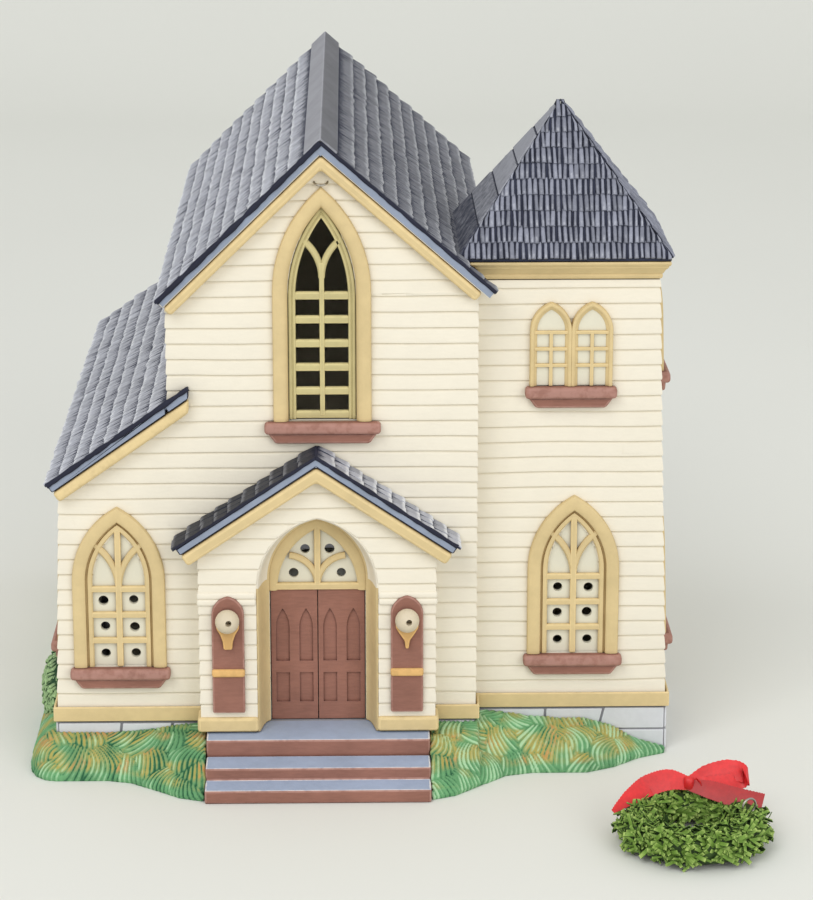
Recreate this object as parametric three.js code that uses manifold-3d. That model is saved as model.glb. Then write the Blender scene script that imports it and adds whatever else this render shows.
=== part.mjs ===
// Village church for a tealight, with a porch, a side aisle, a corner tower and a loose wreath.
// Lengths are in millimetres and +Z is up. x runs across the front and y from the front to the rear.
// The nave front wall is drawn at y = 0 and the ridge over x = 0, and the last lines move the origin.
import * as THREE from 'three';
import { mergeVertices } from 'three/addons/utils/BufferGeometryUtils.js';
import Module from 'manifold-3d';

const wasm = await Module();
wasm.setup();

// General
const SEAM = 0.3;
const WALL = 4;
const LAP = 1;
const WALL_BATTER = 0.034;
const ARCH_STEPS = 7;
const FAR = 500;

// Base
const FOUNDATION_HEIGHT = 15;
const FOUNDATION_THICKNESS = 8;
const FLOOR_THICKNESS = 4;
const BAND_HEIGHT = 4.8;
const BAND_PROUD = 1.2;

// Porch
const PORCH_SHIFT = -2;
const PORCH_DEPTH = 10.5;
const PILLAR_WIDTH = 17.6;
const PORCH_ROOF_SLOPE = 0.67;
const PORCH_ROOF_THICKNESS = 3;
const PORCH_EAVE = 6.6;
const PORCH_VERGE = 4.5;
const PORCH_BARGE_HEIGHT = 4.8;
const PORCH_ROOF_ABOVE_ARCH = 20.1;

// Door
const DOORWAY_WIDTH = 29.8;
const DOOR_HEIGHT = 42.9;
const DOOR_THICKNESS = 2.5;
const SURROUND_WIDTH = 3.6;
const SURROUND_DEPTH = 7.7;
const FANLIGHT_RISE = 22.6;
const FANLIGHT_THICKNESS = 2;
const FANLIGHT_BAR = 1.8;
const FANLIGHT_HOLES = [[3.8, 12.7], [7.4, 4.9]];

// Landing and steps
const STEPS_WIDTH = 69.4;
const LANDING_TREAD = 5.3;
const UPPER_TREAD = 9.2;
const LOWER_TREAD = 7.3;
const UPPER_RISER = 5;
const MIDDLE_RISER = 3.7;
const TREAD_FALL = 0.7;

// Nave
const NAVE_SHOULDER = 4.4;
const NAVE_DEPTH = 218;
const ROOF_THICKNESS = 3.8;
const LEFT_ROOF_SLOPE = 0.974;
const RIGHT_ROOF_SLOPE = 0.873;
const EAVE_LEFT = 2.4;
const EAVE_RIGHT = 5.2;
const VERGE = 4;
const BARGE_HEIGHT = 4.4;
const BARGE_SHORT_OF_EAVE = 2.2;
const RIDGE_ABOVE_WINDOW = 14.1;
const RIDGE_CAP_REACH = 5.2;
const RIDGE_CAP_THICKNESS = 1.1;

// Tall gable window
const GABLE_WINDOW_WIDTH = 30;
const GABLE_WINDOW_HEIGHT = 72.5;
const GABLE_WINDOW_RISE = 32.2;
const GABLE_WINDOW_BORDER = 4.6;
const GABLE_SILL_ABOVE_PORCH = 1;
const LATTICE_THICKNESS = 2;
const LATTICE_BORDER = 2.2;
const LATTICE_BAR = 2.5;
const LATTICE_MULLION = 1.4;
const LATTICE_ROWS = 5;
const LATTICE_PITCH = 7.45;
const TRACERY_RAISE = 5;

// Lancet windows of the aisle and the tower
const SILL_ABOVE_FOUNDATION = 11.8;
const LANCET_WIDTH = 28.8;
const LANCET_HEIGHT = 52;
const LANCET_RISE = 24;
const LANCET_BORDER = 6.3;
const PANE_THICKNESS = 2;
const PANE_BAR = 2;
const PANE_ROW_TOPS = [7.6, 16, 24.4];
const VENT_RADIUS = 1.5;
const FRAME_PROUD = 2;
const BAR_PROUD = 1;

// Sills
const SILL_HEIGHT = 6.8;
const SILL_BOARD = 3.4;
const SILL_PROUD = 4;
const SILL_REACH = 1.2;
const GABLE_SILL_REACH = 2.8;
const SILL_TUCK = 3.4;

// Side aisle
const AISLE_WINDOW_TO_NAVE = 1.9;
const AISLE_WINDOW_TO_CORNER = 5.9;
const AISLE_SHORT_OF_REAR = 10;
const AISLE_ROOF_SLOPE = 0.7;
const AISLE_ROOF_THICKNESS = 3.3;
const AISLE_EAVE = 0.6;
const AISLE_EAVE_ABOVE_WINDOW = 7.8;
const AISLE_VERGE_LAP = 6.6;

// Tower
const TOWER_WINDOW_TO_NAVE = 16.5;
const TOWER_WINDOW_TO_CORNER = 15.6;
const TOWER_DEPTH = 56;
const TOWER_SETBACK = 10;
const TOWER_EAVE = 3;
const TOWER_FRONT_EAVE = 4.4;
const TOWER_ROOF_LAP = 5.4;
const TOWER_ROOF_RISE = 43.1;
const TOWER_ROOF_SKIN = 5;
const TOWER_ROOF_EDGE = 1.6;
const TOWER_TIP = 2.6;
const CORNICE_HEIGHT = 6.1;
const CORNICE_ABOVE_WINDOW = 7;

// Twin windows
const TWIN_GAP = 28.7;
const TWIN_SHIFT = -1.7;
const TWIN_WIDTH = 13;
const TWIN_OVERLAP = 0.4;
const TWIN_HEIGHT = 26.4;
const TWIN_RISE = 9;
const TWIN_BORDER = 2.2;
const TWIN_BACK = 0.8;
const TWIN_BAR = 1;
const TWIN_ROW_TOPS = [6, 11.2, 16.4];

// Side windows
const AISLE_SIDE_WINDOWS = 3;
const NAVE_SIDE_WINDOWS = 2;
const SIDE_WIDTH = 24;
const SIDE_HEIGHT = 46;
const SIDE_RISE = 20;
const SIDE_BORDER = 3.6;
const SIDE_ROWS = 3;
const SIDE_ROW_PITCH = 9.2;

// Opening for the tealight in the rear wall
const REAR_OPENING_WIDTH = 60;
const REAR_OPENING_HEIGHT = 40;
const REAR_OPENING_RISE = 31;
const REAR_RIM = 3.4;

// Lanterns on the pillars
const PLAQUE_WIDTH = 10;
const PLAQUE_HEIGHT = 38;
const PLAQUE_RISE = 6;
const PLAQUE_THICKNESS = 1.5;
const PLAQUE_ABOVE_LANDING = 7;
const PLAQUE_BAND_RISE = 12;
const PLAQUE_BAND_HEIGHT = 2.6;
const PLAQUE_BAND_PROUD = 0.8;
const GLOBE_RADIUS = 3.7;
const GLOBE_RISE = 31.2;
const GLOBE_BORE = 1.1;
const GLOBE_BORE_DEPTH = 2;
const BRACKET_DROP = 9.8;
const BRACKET_TOP_HALF = 3.4;
const BRACKET_TIP_HALF = 1;
const BRACKET_THICKNESS = 1.4;

// Wire eye for the wreath
const EYE_RADIUS = 2.2;
const EYE_WIRE = 0.45;
const EYE_ABOVE_WINDOW = 1.4;

// Grass banks and bush
const BANK_REACH_BY_LANDING = 30.5;
const BANK_REACH_FRONT = 13;
const BANK_REACH_TOWER = 19;
const BANK_REACH_SIDE = 8.6;
const BANK_REACH_END = 3;
const BANK_SPREAD = 30;
const BANK_HEIGHT = 11.5;
const BANK_HEIGHT_BY_LANDING = 14.4;
const BANK_HEIGHT_END = 1.5;
const BANK_TAIL = 26;
const BANK_LIP = 0.8;
const BANK_CORNER_STATIONS = 4;
const BANK_SHARES = [[0, 1], [0.32, 0.9], [0.64, 0.62], [0.88, 0.28], [1, 0]];
const BUSH_FROM_FRONT = 37;
const BUSH_LENGTH = 34;
const BUSH_BELOW_SILL = 1.2;
const BUSH_REACH = 6.6;

// Wreath
const WREATH_RIGHT_OF_TOWER = 0.9;
const WREATH_IN_FRONT = 64.5;
const WREATH_RADIUS = 16.5;
const WREATH_TUBE = 6.2;
const WREATH_HEIGHT = 11;
const BOW_BEHIND = 13;
const BOW_REACH = 21.5;
const BOW_DEPTH = 6;
const BOW_THICKNESS = 3;
const KNOT_RADIUS = 3.4;
const HOOK_RADIUS = 2.4;
const HOOK_WIRE = 0.45;

// Tealight
const TEALIGHT_RADIUS = 19;
const TEALIGHT_HEIGHT = 16;
const TEALIGHT_SKIN = 1;
const TEALIGHT_FROM_REAR = 76;
const WAX_BELOW_RIM = 3;
const WICK_RADIUS = 0.8;
const WICK_ABOVE_WAX = 7;

// Places across the front
const archHalf = DOORWAY_WIDTH / 2 + SURROUND_WIDTH + SEAM;
const porchHalf = archHalf + PILLAR_WIDTH;
const porchRoofHalf = porchHalf + PORCH_EAVE;
const naveHalf = porchRoofHalf + NAVE_SHOULDER;
const aisleFoot = naveHalf + AISLE_WINDOW_TO_NAVE + LANCET_WIDTH + AISLE_WINDOW_TO_CORNER;
const towerFoot = naveHalf + TOWER_WINDOW_TO_NAVE + LANCET_WIDTH + TOWER_WINDOW_TO_CORNER;
const towerRear = TOWER_SETBACK + TOWER_DEPTH;
const aisleDepth = NAVE_DEPTH - AISLE_SHORT_OF_REAR;
const aisleWindowX = -(naveHalf + AISLE_WINDOW_TO_NAVE + LANCET_WIDTH / 2);
const towerWindowX = naveHalf + TOWER_WINDOW_TO_NAVE + LANCET_WIDTH / 2;
const twinX = towerWindowX + TWIN_SHIFT;

// Places up the porch and the nave
const wallFoot = FOUNDATION_HEIGHT + SEAM;
const doorTop = wallFoot + DOOR_HEIGHT;
const fanlightFoot = doorTop + SEAM;
const doorwayTop = fanlightFoot + FANLIGHT_RISE;
const archTop = doorwayTop + SURROUND_WIDTH + SEAM;
const archRise = FANLIGHT_RISE;
const porchRidge = archTop + PORCH_ROOF_ABOVE_ARCH;
const gableWindowFoot = porchRidge + GABLE_SILL_ABOVE_PORCH + SILL_HEIGHT;
const gableWindowTop = gableWindowFoot + GABLE_WINDOW_HEIGHT;
const ridge = gableWindowTop + RIDGE_ABOVE_WINDOW;

// Places up the aisle and the tower
const sillFoot = FOUNDATION_HEIGHT + SILL_ABOVE_FOUNDATION;
const lancetFoot = sillFoot + SILL_HEIGHT;
const lancetTop = lancetFoot + LANCET_HEIGHT;
const aisleEave = lancetTop + AISLE_EAVE_ABOVE_WINDOW;
const aisleTip = aisleFoot + AISLE_EAVE;
const rearOpeningTop = FOUNDATION_HEIGHT + REAR_OPENING_HEIGHT;
const twinFoot = lancetTop + TWIN_GAP + SILL_HEIGHT;
const twinTop = twinFoot + TWIN_HEIGHT;
const corniceFoot = twinTop + CORNICE_ABOVE_WINDOW;
const towerEave = corniceFoot + CORNICE_HEIGHT;
const towerApex = towerEave + TOWER_ROOF_RISE;
const towerTopRight = towerFoot - WALL_BATTER * (corniceFoot - FOUNDATION_HEIGHT);
const towerRoofLeft = naveHalf - TOWER_ROOF_LAP;
const towerRoofRight = towerTopRight + TOWER_EAVE;
const towerRoofFront = TOWER_SETBACK - TOWER_FRONT_EAVE;
const towerRoofRear = towerRear + TOWER_FRONT_EAVE;

const housePlan = [
  [-aisleFoot, 0],
  [naveHalf, 0],
  [naveHalf, TOWER_SETBACK],
  [towerFoot, TOWER_SETBACK],
  [towerFoot, towerRear],
  [naveHalf, towerRear],
  [naveHalf, NAVE_DEPTH],
  [-naveHalf, NAVE_DEPTH],
  [-naveHalf, aisleDepth],
  [-aisleFoot, aisleDepth]
];

// Solids and cuts

function toSolid(geometry) {
  const bare = geometry.clone();
  bare.deleteAttribute('normal');
  bare.deleteAttribute('uv');
  const merged = mergeVertices(bare, 1e-4);
  return new wasm.Manifold(new wasm.Mesh({
    numProp: 3,
    vertProperties: merged.attributes.position.array,
    triVerts: new Uint32Array(merged.index.array)
  }));
}

function toGeometry(solid) {
  const mesh = solid.getMesh();
  const geometry = new THREE.BufferGeometry();
  geometry.setAttribute('position', new THREE.BufferAttribute(mesh.vertProperties, 3));
  geometry.setIndex(new THREE.BufferAttribute(mesh.triVerts, 1));
  geometry.computeVertexNormals();
  return geometry;
}

function cut(geometry, ...cutters) {
  let solid = toSolid(geometry);
  for (const cutter of cutters) solid = solid.subtract(toSolid(cutter));
  return toGeometry(solid);
}

function join(geometry, ...others) {
  let solid = toSolid(geometry);
  for (const other of others) solid = solid.add(toSolid(other));
  return toGeometry(solid);
}

function keepInside(geometry, region) {
  return toGeometry(toSolid(geometry).intersect(toSolid(region)));
}

function block(x0, x1, y0, y1, z0, z1) {
  const box = new THREE.BoxGeometry(x1 - x0, y1 - y0, z1 - z0);
  return box.translate((x0 + x1) / 2, (y0 + y1) / 2, (z0 + z1) / 2);
}

function shapeOf(points, ...holes) {
  const shape = new THREE.Shape(points.map(([x, y]) => new THREE.Vector2(x, y)));
  for (const hole of holes) {
    shape.holes.push(new THREE.Path(hole.map(([x, y]) => new THREE.Vector2(x, y))));
  }
  return shape;
}

// A shape drawn in x and z, pulled along y
function frontSlice(shape, y0, y1) {
  const slice = new THREE.ExtrudeGeometry(shape, { depth: y1 - y0, bevelEnabled: false });
  return slice.rotateX(Math.PI / 2).translate(0, y1, 0);
}

// A shape drawn in y and z, pulled along x
function sideSlice(shape, x0, x1) {
  const slice = new THREE.ExtrudeGeometry(shape, { depth: x1 - x0, bevelEnabled: false });
  const turn = new THREE.Matrix4().makeBasis(
    new THREE.Vector3(0, 1, 0),
    new THREE.Vector3(0, 0, 1),
    new THREE.Vector3(1, 0, 0)
  );
  return slice.applyMatrix4(turn).translate(x0, 0, 0);
}

// A plan drawn in x and y, pulled upwards
function planSlice(shape, z0, z1) {
  const slice = new THREE.ExtrudeGeometry(shape, { depth: z1 - z0, bevelEnabled: false });
  return slice.translate(0, 0, z0);
}

// A pointed arch, from its left foot over the top to its right foot
function lancet(centre, foot, half, top, rise) {
  const spring = top - rise;
  const radius = (half * half + rise * rise) / (2 * half);
  const sweep = Math.atan2(rise, radius - half);
  const left = [];
  for (let i = 0; i < ARCH_STEPS; i++) {
    const angle = sweep * i / ARCH_STEPS;
    left.push([half - radius + radius * Math.cos(angle), spring + radius * Math.sin(angle)]);
  }
  const arch = [[-half, foot]];
  for (const [x, z] of left) arch.push([-x, z]);
  arch.push([0, top]);
  for (const [x, z] of left.reverse()) arch.push([x, z]);
  arch.push([half, foot]);
  return arch.map(([x, z]) => [centre + x, z]);
}

function disc(x, z, radius) {
  const sides = 8;
  const points = [];
  for (let i = 0; i < sides; i++) {
    const angle = 2 * Math.PI * (i + 0.5) / sides;
    points.push([x + radius * Math.cos(angle), z + radius * Math.sin(angle)]);
  }
  return points;
}

// Moves each straight edge of an anticlockwise plan outwards, or inwards if the distance is negative
function offsetPlan(points, distance) {
  const count = points.length;
  return points.map((here, i) => {
    const before = points[(i + count - 1) % count];
    const after = points[(i + 1) % count];
    const a = new THREE.Vector2(here[0] - before[0], here[1] - before[1]).normalize();
    const b = new THREE.Vector2(after[0] - here[0], after[1] - here[1]).normalize();
    const share = distance / (1 + a.dot(b));
    return [here[0] + (a.y + b.y) * share, here[1] - (a.x + b.x) * share];
  });
}

// A round wire that follows a half circle from its left foot to its right foot
function halfRing(radius, wire) {
  const section = shapeOf(disc(0, 0, wire));
  const arc = [];
  for (let i = 0; i <= 12; i++) {
    const angle = Math.PI * i / 12;
    arc.push(new THREE.Vector3(-radius * Math.cos(angle), -radius * Math.sin(angle), 0));
  }
  return new THREE.ExtrudeGeometry(section, {
    steps: 14,
    bevelEnabled: false,
    extrudePath: new THREE.CatmullRomCurve3(arc)
  });
}

// Walls: a piece is drawn on a wall at y = 0 that faces the front, and then taken to its own wall

function ontoWall(turn, x, y, lean = 0) {
  const place = new THREE.Matrix4().makeRotationZ(turn).setPosition(x, y, 0);
  const slant = new THREE.Matrix4().set(
    1, 0, lean, -lean * FOUNDATION_HEIGHT,
    0, 1, 0, 0,
    0, 0, 1, 0,
    0, 0, 0, 1
  );
  return slant.multiply(place);
}

const towerFront = ontoWall(0, 0, TOWER_SETBACK);
const porchFront = ontoWall(0, PORCH_SHIFT, -PORCH_DEPTH);
const porchCentre = ontoWall(0, PORCH_SHIFT, 0);
const naveRear = ontoWall(Math.PI, 0, NAVE_DEPTH);
const naveRight = ontoWall(Math.PI / 2, naveHalf, 0);
const aisleLeft = ontoWall(-Math.PI / 2, -aisleFoot, 0, WALL_BATTER);
const towerRight = ontoWall(Math.PI / 2, towerFoot, 0, -WALL_BATTER);

// Roof outlines

// How far the lower corner of a square-cut eave lies inside its upper corner
function eaveTuck(slope, thickness) {
  return thickness * slope / (1 + slope * slope);
}

// One slope of a roof, from one distance off the ridge to another, on the left (-1) or right (1)
function slopeBand(side, top, slope, from, to, thickness) {
  const tuck = eaveTuck(slope, thickness);
  return [
    [side * from, top - slope * from],
    [side * to, top - slope * to],
    [side * (to - tuck), top - slope * (to - tuck) - thickness],
    [side * from, top - slope * from - thickness]
  ];
}

// Both slopes in one piece
function veeBand(top, slopeLeft, reachLeft, slopeRight, reachRight, thickness) {
  const left = slopeBand(-1, top, slopeLeft, 0, reachLeft, thickness);
  const right = slopeBand(1, top, slopeRight, 0, reachRight, thickness);
  return [left[1], right[0], right[1], right[2], right[3], left[2]];
}

// Underside of the nave roof at a distance off the ridge
function naveRoofUnder(slope, reach) {
  return ridge - slope * reach - ROOF_THICKNESS - SEAM;
}

function aisleRoofTop(x) {
  return aisleEave + AISLE_ROOF_SLOPE * (x + aisleTip);
}

// Window openings and frames

const paneHalf = LANCET_WIDTH / 2 - LANCET_BORDER;
const paneTop = lancetTop - LANCET_BORDER * 1.25;
const paneRise = LANCET_RISE - LANCET_BORDER * 0.9;
const gableHalf = GABLE_WINDOW_WIDTH / 2 - GABLE_WINDOW_BORDER;
const gableTop = gableWindowTop - GABLE_WINDOW_BORDER * 1.25;
const gableRise = GABLE_WINDOW_RISE - GABLE_WINDOW_BORDER * 0.9;

function through(points) {
  return frontSlice(shapeOf(points), -FAR, WALL + SEAM);
}

function ringOf(outer, inner, y0, y1) {
  return cut(frontSlice(shapeOf(outer), y0, y1), through(inner));
}

// Two curved bars that spring from the middle bar and meet the arch
function traceryArms(centre, foot, reach, rise, width, y0, y1) {
  const radius = (reach * reach + rise * rise) / (2 * reach);
  const sweep = Math.asin(Math.min(1, rise / radius));
  return [-1, 1].map((side) => {
    const outer = [];
    const inner = [];
    for (let i = 0; i <= ARCH_STEPS; i++) {
      const angle = sweep * i / ARCH_STEPS;
      const x = centre + side * radius * (1 - Math.cos(angle));
      const z = foot + radius * Math.sin(angle);
      const dx = side * width / 2 * Math.cos(angle);
      const dz = width / 2 * Math.sin(angle);
      outer.push([x + dx, z - dz]);
      inner.push([x - dx, z + dz]);
    }
    return frontSlice(shapeOf([...outer, ...inner.reverse()]), y0, y1);
  });
}

function sill(centre, half, top, reach = SILL_REACH) {
  const end = half + reach;
  const board = block(centre - end, centre + end, -SEAM - SILL_PROUD, -SEAM, top - SILL_BOARD, top - SEAM);
  const foot = block(centre - end + SILL_TUCK, centre + end - SILL_TUCK,
    -SEAM - SILL_PROUD * 0.6, -SEAM, top - SILL_HEIGHT, top - SILL_BOARD / 2);
  return join(board, foot);
}

function lancetFrame(centre) {
  const outer = lancet(centre, lancetFoot, LANCET_WIDTH / 2, lancetTop, LANCET_RISE);
  const inner = lancet(centre, lancetFoot, paneHalf, paneTop, paneRise);
  const ring = ringOf(outer, inner, -SEAM - FRAME_PROUD, -SEAM);
  const front = -SEAM - BAR_PROUD;
  const armFoot = lancetFoot + PANE_ROW_TOPS[PANE_ROW_TOPS.length - 1] + PANE_BAR / 2;
  const bars = [
    block(centre - PANE_BAR / 2, centre + PANE_BAR / 2, front, -SEAM, lancetFoot, paneTop + LAP)
  ];
  for (const top of PANE_ROW_TOPS) {
    const z = lancetFoot + top;
    bars.push(block(centre - paneHalf - LAP, centre + paneHalf + LAP, front, -SEAM, z, z + PANE_BAR));
  }
  const arms = traceryArms(centre, armFoot, paneHalf, (paneTop - armFoot) * 0.8, PANE_BAR, front, -SEAM);
  const inside = frontSlice(shapeOf(outer), front, -SEAM);
  return join(ring, ...bars, ...arms.map((arm) => keepInside(arm, inside)));
}

function lancetPanes(centre) {
  const holes = [];
  let rowFoot = 0;
  for (const rowTop of PANE_ROW_TOPS) {
    for (const side of [-1, 1]) {
      const x = centre + side * (paneHalf + PANE_BAR / 2) / 2;
      holes.push(disc(x, lancetFoot + (rowFoot + rowTop) / 2, VENT_RADIUS));
    }
    rowFoot = rowTop + PANE_BAR;
  }
  const outline = lancet(centre, lancetFoot + SEAM, paneHalf - SEAM, paneTop - SEAM, paneRise);
  return frontSlice(shapeOf(outline, ...holes), SEAM, SEAM + PANE_THICKNESS);
}

function lancetOpening(centre) {
  return through(lancet(centre, lancetFoot, paneHalf, paneTop, paneRise));
}

function twinArches(centre, inset) {
  const half = TWIN_WIDTH / 2;
  return [-1, 1].map((side) => lancet(
    centre + side * (half - TWIN_OVERLAP / 2),
    twinFoot + inset / 2,
    half - inset,
    twinTop - inset,
    TWIN_RISE - inset / 3
  ));
}

function twinFrame(centre) {
  const back = -SEAM * 2 - TWIN_BACK;
  const front = back - BAR_PROUD;
  const [leftOuter, rightOuter] = twinArches(centre, 0);
  const [leftInner, rightInner] = twinArches(centre, TWIN_BORDER);
  const whole = join(
    frontSlice(shapeOf(leftOuter), front, back),
    frontSlice(shapeOf(rightOuter), front, back)
  );
  const ring = cut(whole, through(leftInner), through(rightInner));
  const bars = [];
  for (const side of [-1, 1]) {
    const middle = centre + side * (TWIN_WIDTH - TWIN_OVERLAP) / 2;
    const reach = TWIN_WIDTH / 2 - TWIN_BORDER / 2;
    const barFront = back - BAR_PROUD * 0.6;
    bars.push(block(middle - TWIN_BAR / 2, middle + TWIN_BAR / 2, barFront, back,
      twinFoot + TWIN_BORDER / 4, twinFoot + TWIN_ROW_TOPS[TWIN_ROW_TOPS.length - 1] + TWIN_BAR));
    for (const top of TWIN_ROW_TOPS) {
      const z = twinFoot + top;
      bars.push(block(middle - reach, middle + reach, barFront, back, z, z + TWIN_BAR));
    }
  }
  return join(ring, ...bars);
}

function twinPanes(centre) {
  const [left, right] = twinArches(centre, 0);
  return join(
    frontSlice(shapeOf(left), -SEAM - TWIN_BACK, -SEAM),
    frontSlice(shapeOf(right), -SEAM - TWIN_BACK, -SEAM)
  );
}

// A blind side window with its sill in one piece
function sideLancet(centre) {
  const half = SIDE_WIDTH / 2;
  const top = lancetFoot + SIDE_HEIGHT;
  const outer = lancet(centre, lancetFoot, half, top, SIDE_RISE);
  const inner = lancet(centre, lancetFoot, half - SIDE_BORDER, top - SIDE_BORDER * 1.25,
    SIDE_RISE - SIDE_BORDER / 2);
  const ring = ringOf(outer, inner, -SEAM - FRAME_PROUD, -SEAM);
  const front = -SEAM - BAR_PROUD;
  const bars = [
    block(centre - PANE_BAR / 2, centre + PANE_BAR / 2, front, -SEAM, lancetFoot - LAP, top - SIDE_BORDER)
  ];
  for (let row = 1; row <= SIDE_ROWS; row++) {
    const z = lancetFoot + row * SIDE_ROW_PITCH - PANE_BAR;
    bars.push(block(centre - half + LAP, centre + half - LAP, front, -SEAM, z, z + PANE_BAR));
  }
  return join(ring, ...bars, sill(centre, half, lancetFoot + SEAM * 2));
}

function sideTwin(centre) {
  const panes = twinPanes(centre);
  const frame = twinFrame(centre).translate(0, SEAM, 0);
  return join(panes, frame, sill(centre, TWIN_WIDTH, twinFoot + SEAM * 2));
}

// Evenly spaced places along a wall
function spaced(count, from, to) {
  return Array.from({ length: count }, (_, i) => from + (to - from) * (i + 0.5) / count);
}

// Shells

function gableWindowOpening() {
  return through(lancet(0, gableWindowFoot, gableHalf, gableTop, gableRise));
}

function doorwayOpening() {
  const outline = lancet(0, wallFoot - LAP, DOORWAY_WIDTH / 2, doorwayTop, FANLIGHT_RISE);
  return through(outline).applyMatrix4(porchCentre);
}

function rearOpening() {
  const outline = lancet(0, 0, REAR_OPENING_WIDTH / 2, rearOpeningTop, REAR_OPENING_RISE);
  return through(outline).applyMatrix4(naveRear);
}

function naveShell() {
  const walls = frontSlice(shapeOf([
    [-naveHalf, wallFoot],
    [naveHalf, wallFoot],
    [naveHalf, naveRoofUnder(RIGHT_ROOF_SLOPE, naveHalf)],
    [0, naveRoofUnder(0, 0)],
    [-naveHalf, naveRoofUnder(LEFT_ROOF_SLOPE, naveHalf)]
  ]), 0, NAVE_DEPTH);
  const inside = naveHalf - WALL;
  const hollow = block(-inside, inside, WALL, NAVE_DEPTH - WALL, -FAR, FAR);
  const aislePassage = block(-naveHalf - LAP, -inside + LAP, WALL * 3, aisleDepth - WALL * 3, 0, aisleEave);
  const towerPassage = block(inside - LAP, naveHalf + LAP, TOWER_SETBACK + WALL * 2, towerRear - WALL * 2, 0,
    corniceFoot - WALL * 3);
  const openings = [gableWindowOpening(), doorwayOpening(), rearOpening()];
  return cut(walls, hollow, aislePassage, towerPassage, ...openings);
}

// Front, outer side and rear walls, open towards the nave
function aisleShell() {
  const inner = -naveHalf - SEAM;
  const under = (x) => aisleRoofTop(x) - AISLE_ROOF_THICKNESS - SEAM;
  const topOuter = -aisleFoot + WALL_BATTER * (aisleEave - FOUNDATION_HEIGHT);
  const walls = frontSlice(shapeOf([
    [-aisleFoot, wallFoot],
    [inner, wallFoot],
    [inner, under(inner)],
    [topOuter, under(topOuter)]
  ]), 0, aisleDepth);
  const hollow = frontSlice(shapeOf([
    [-aisleFoot + WALL, 0],
    [0, 0],
    [0, FAR],
    [-aisleFoot + WALL + WALL_BATTER * FAR, FAR]
  ]), WALL, aisleDepth - WALL);
  const window = lancetOpening(aisleWindowX);
  return cut(walls, hollow, window);
}

function towerShell() {
  const inner = naveHalf + SEAM;
  const top = corniceFoot - SEAM;
  const walls = frontSlice(shapeOf([
    [inner, wallFoot],
    [towerFoot, wallFoot],
    [towerFoot - WALL_BATTER * (top - FOUNDATION_HEIGHT), top],
    [inner, top]
  ]), TOWER_SETBACK, towerRear);
  const hollow = frontSlice(shapeOf([
    [0, 0],
    [towerFoot - WALL, 0],
    [towerFoot - WALL - WALL_BATTER * FAR, FAR],
    [0, FAR]
  ]), TOWER_SETBACK + WALL, towerRear - WALL);
  return cut(walls, hollow, lancetOpening(towerWindowX).applyMatrix4(towerFront));
}

function porchShell() {
  const under = (reach) => porchRidge - PORCH_ROOF_SLOPE * reach - PORCH_ROOF_THICKNESS - SEAM;
  const arch = lancet(0, wallFoot, archHalf, archTop, archRise);
  const outline = [
    [-porchHalf, wallFoot],
    [-porchHalf, under(porchHalf)],
    [0, under(0)],
    [porchHalf, under(porchHalf)],
    [porchHalf, wallFoot],
    ...arch.reverse()
  ];
  return frontSlice(shapeOf(outline), -PORCH_DEPTH, -SEAM).applyMatrix4(porchCentre);
}

// Base

function baseFloor() {
  const outline = offsetPlan(housePlan, -FOUNDATION_THICKNESS - SEAM);
  return planSlice(shapeOf(outline), 0, FLOOR_THICKNESS);
}

function foundation() {
  const plan = shapeOf(housePlan, offsetPlan(housePlan, -FOUNDATION_THICKNESS));
  const half = REAR_OPENING_WIDTH / 2;
  const inside = NAVE_DEPTH - FOUNDATION_THICKNESS - LAP;
  const wayOut = block(-half, half, inside, NAVE_DEPTH + LAP, FLOOR_THICKNESS, FAR);
  return cut(planSlice(plan, 0, FOUNDATION_HEIGHT), wayOut);
}

function waterTable(side) {
  const ring = planSlice(
    shapeOf(offsetPlan(housePlan, BAND_PROUD), offsetPlan(housePlan, SEAM)),
    wallFoot,
    wallFoot + BAND_HEIGHT
  );
  const porchSide = porchHalf + SEAM;
  const porchGap = block(PORCH_SHIFT - porchSide, PORCH_SHIFT + porchSide, -PORCH_DEPTH, WALL, 0, FAR);
  const half = REAR_OPENING_WIDTH / 2;
  const rearGap = block(-half, half, NAVE_DEPTH - WALL, NAVE_DEPTH + WALL, 0, FAR);
  const region = side < 0 ? block(-FAR, 0, -FAR, FAR, 0, FAR) : block(0, FAR, -FAR, FAR, 0, FAR);
  return keepInside(cut(ring, porchGap, rearGap), region);
}

const stepsLeft = PORCH_SHIFT - STEPS_WIDTH / 2;
const stepsRight = PORCH_SHIFT + STEPS_WIDTH / 2;
const landingEdge = -PORCH_DEPTH - LANDING_TREAD;

function landing() {
  return sideSlice(shapeOf([
    [-SEAM, 0],
    [-SEAM, FOUNDATION_HEIGHT],
    [-PORCH_DEPTH, FOUNDATION_HEIGHT],
    [landingEdge, FOUNDATION_HEIGHT - TREAD_FALL],
    [landingEdge, 0]
  ]), stepsLeft, stepsRight);
}

function steps() {
  const upperTop = FOUNDATION_HEIGHT - TREAD_FALL - UPPER_RISER;
  const lowerTop = upperTop - TREAD_FALL - MIDDLE_RISER;
  const back = landingEdge - SEAM;
  const upperEdge = landingEdge - UPPER_TREAD;
  const lowerEdge = upperEdge - LOWER_TREAD;
  return sideSlice(shapeOf([
    [back, 0],
    [back, upperTop],
    [upperEdge, upperTop - TREAD_FALL],
    [upperEdge, lowerTop],
    [lowerEdge, lowerTop - TREAD_FALL],
    [lowerEdge, 0]
  ]), stepsLeft, stepsRight);
}

// Grass banks: a row of stations, each with a point at the wall, a point out on the ground and a height

function blend(from, to, share) {
  const t = Math.min(1, Math.max(0, share));
  return from + (to - from) * t * t * (3 - 2 * t);
}

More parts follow.
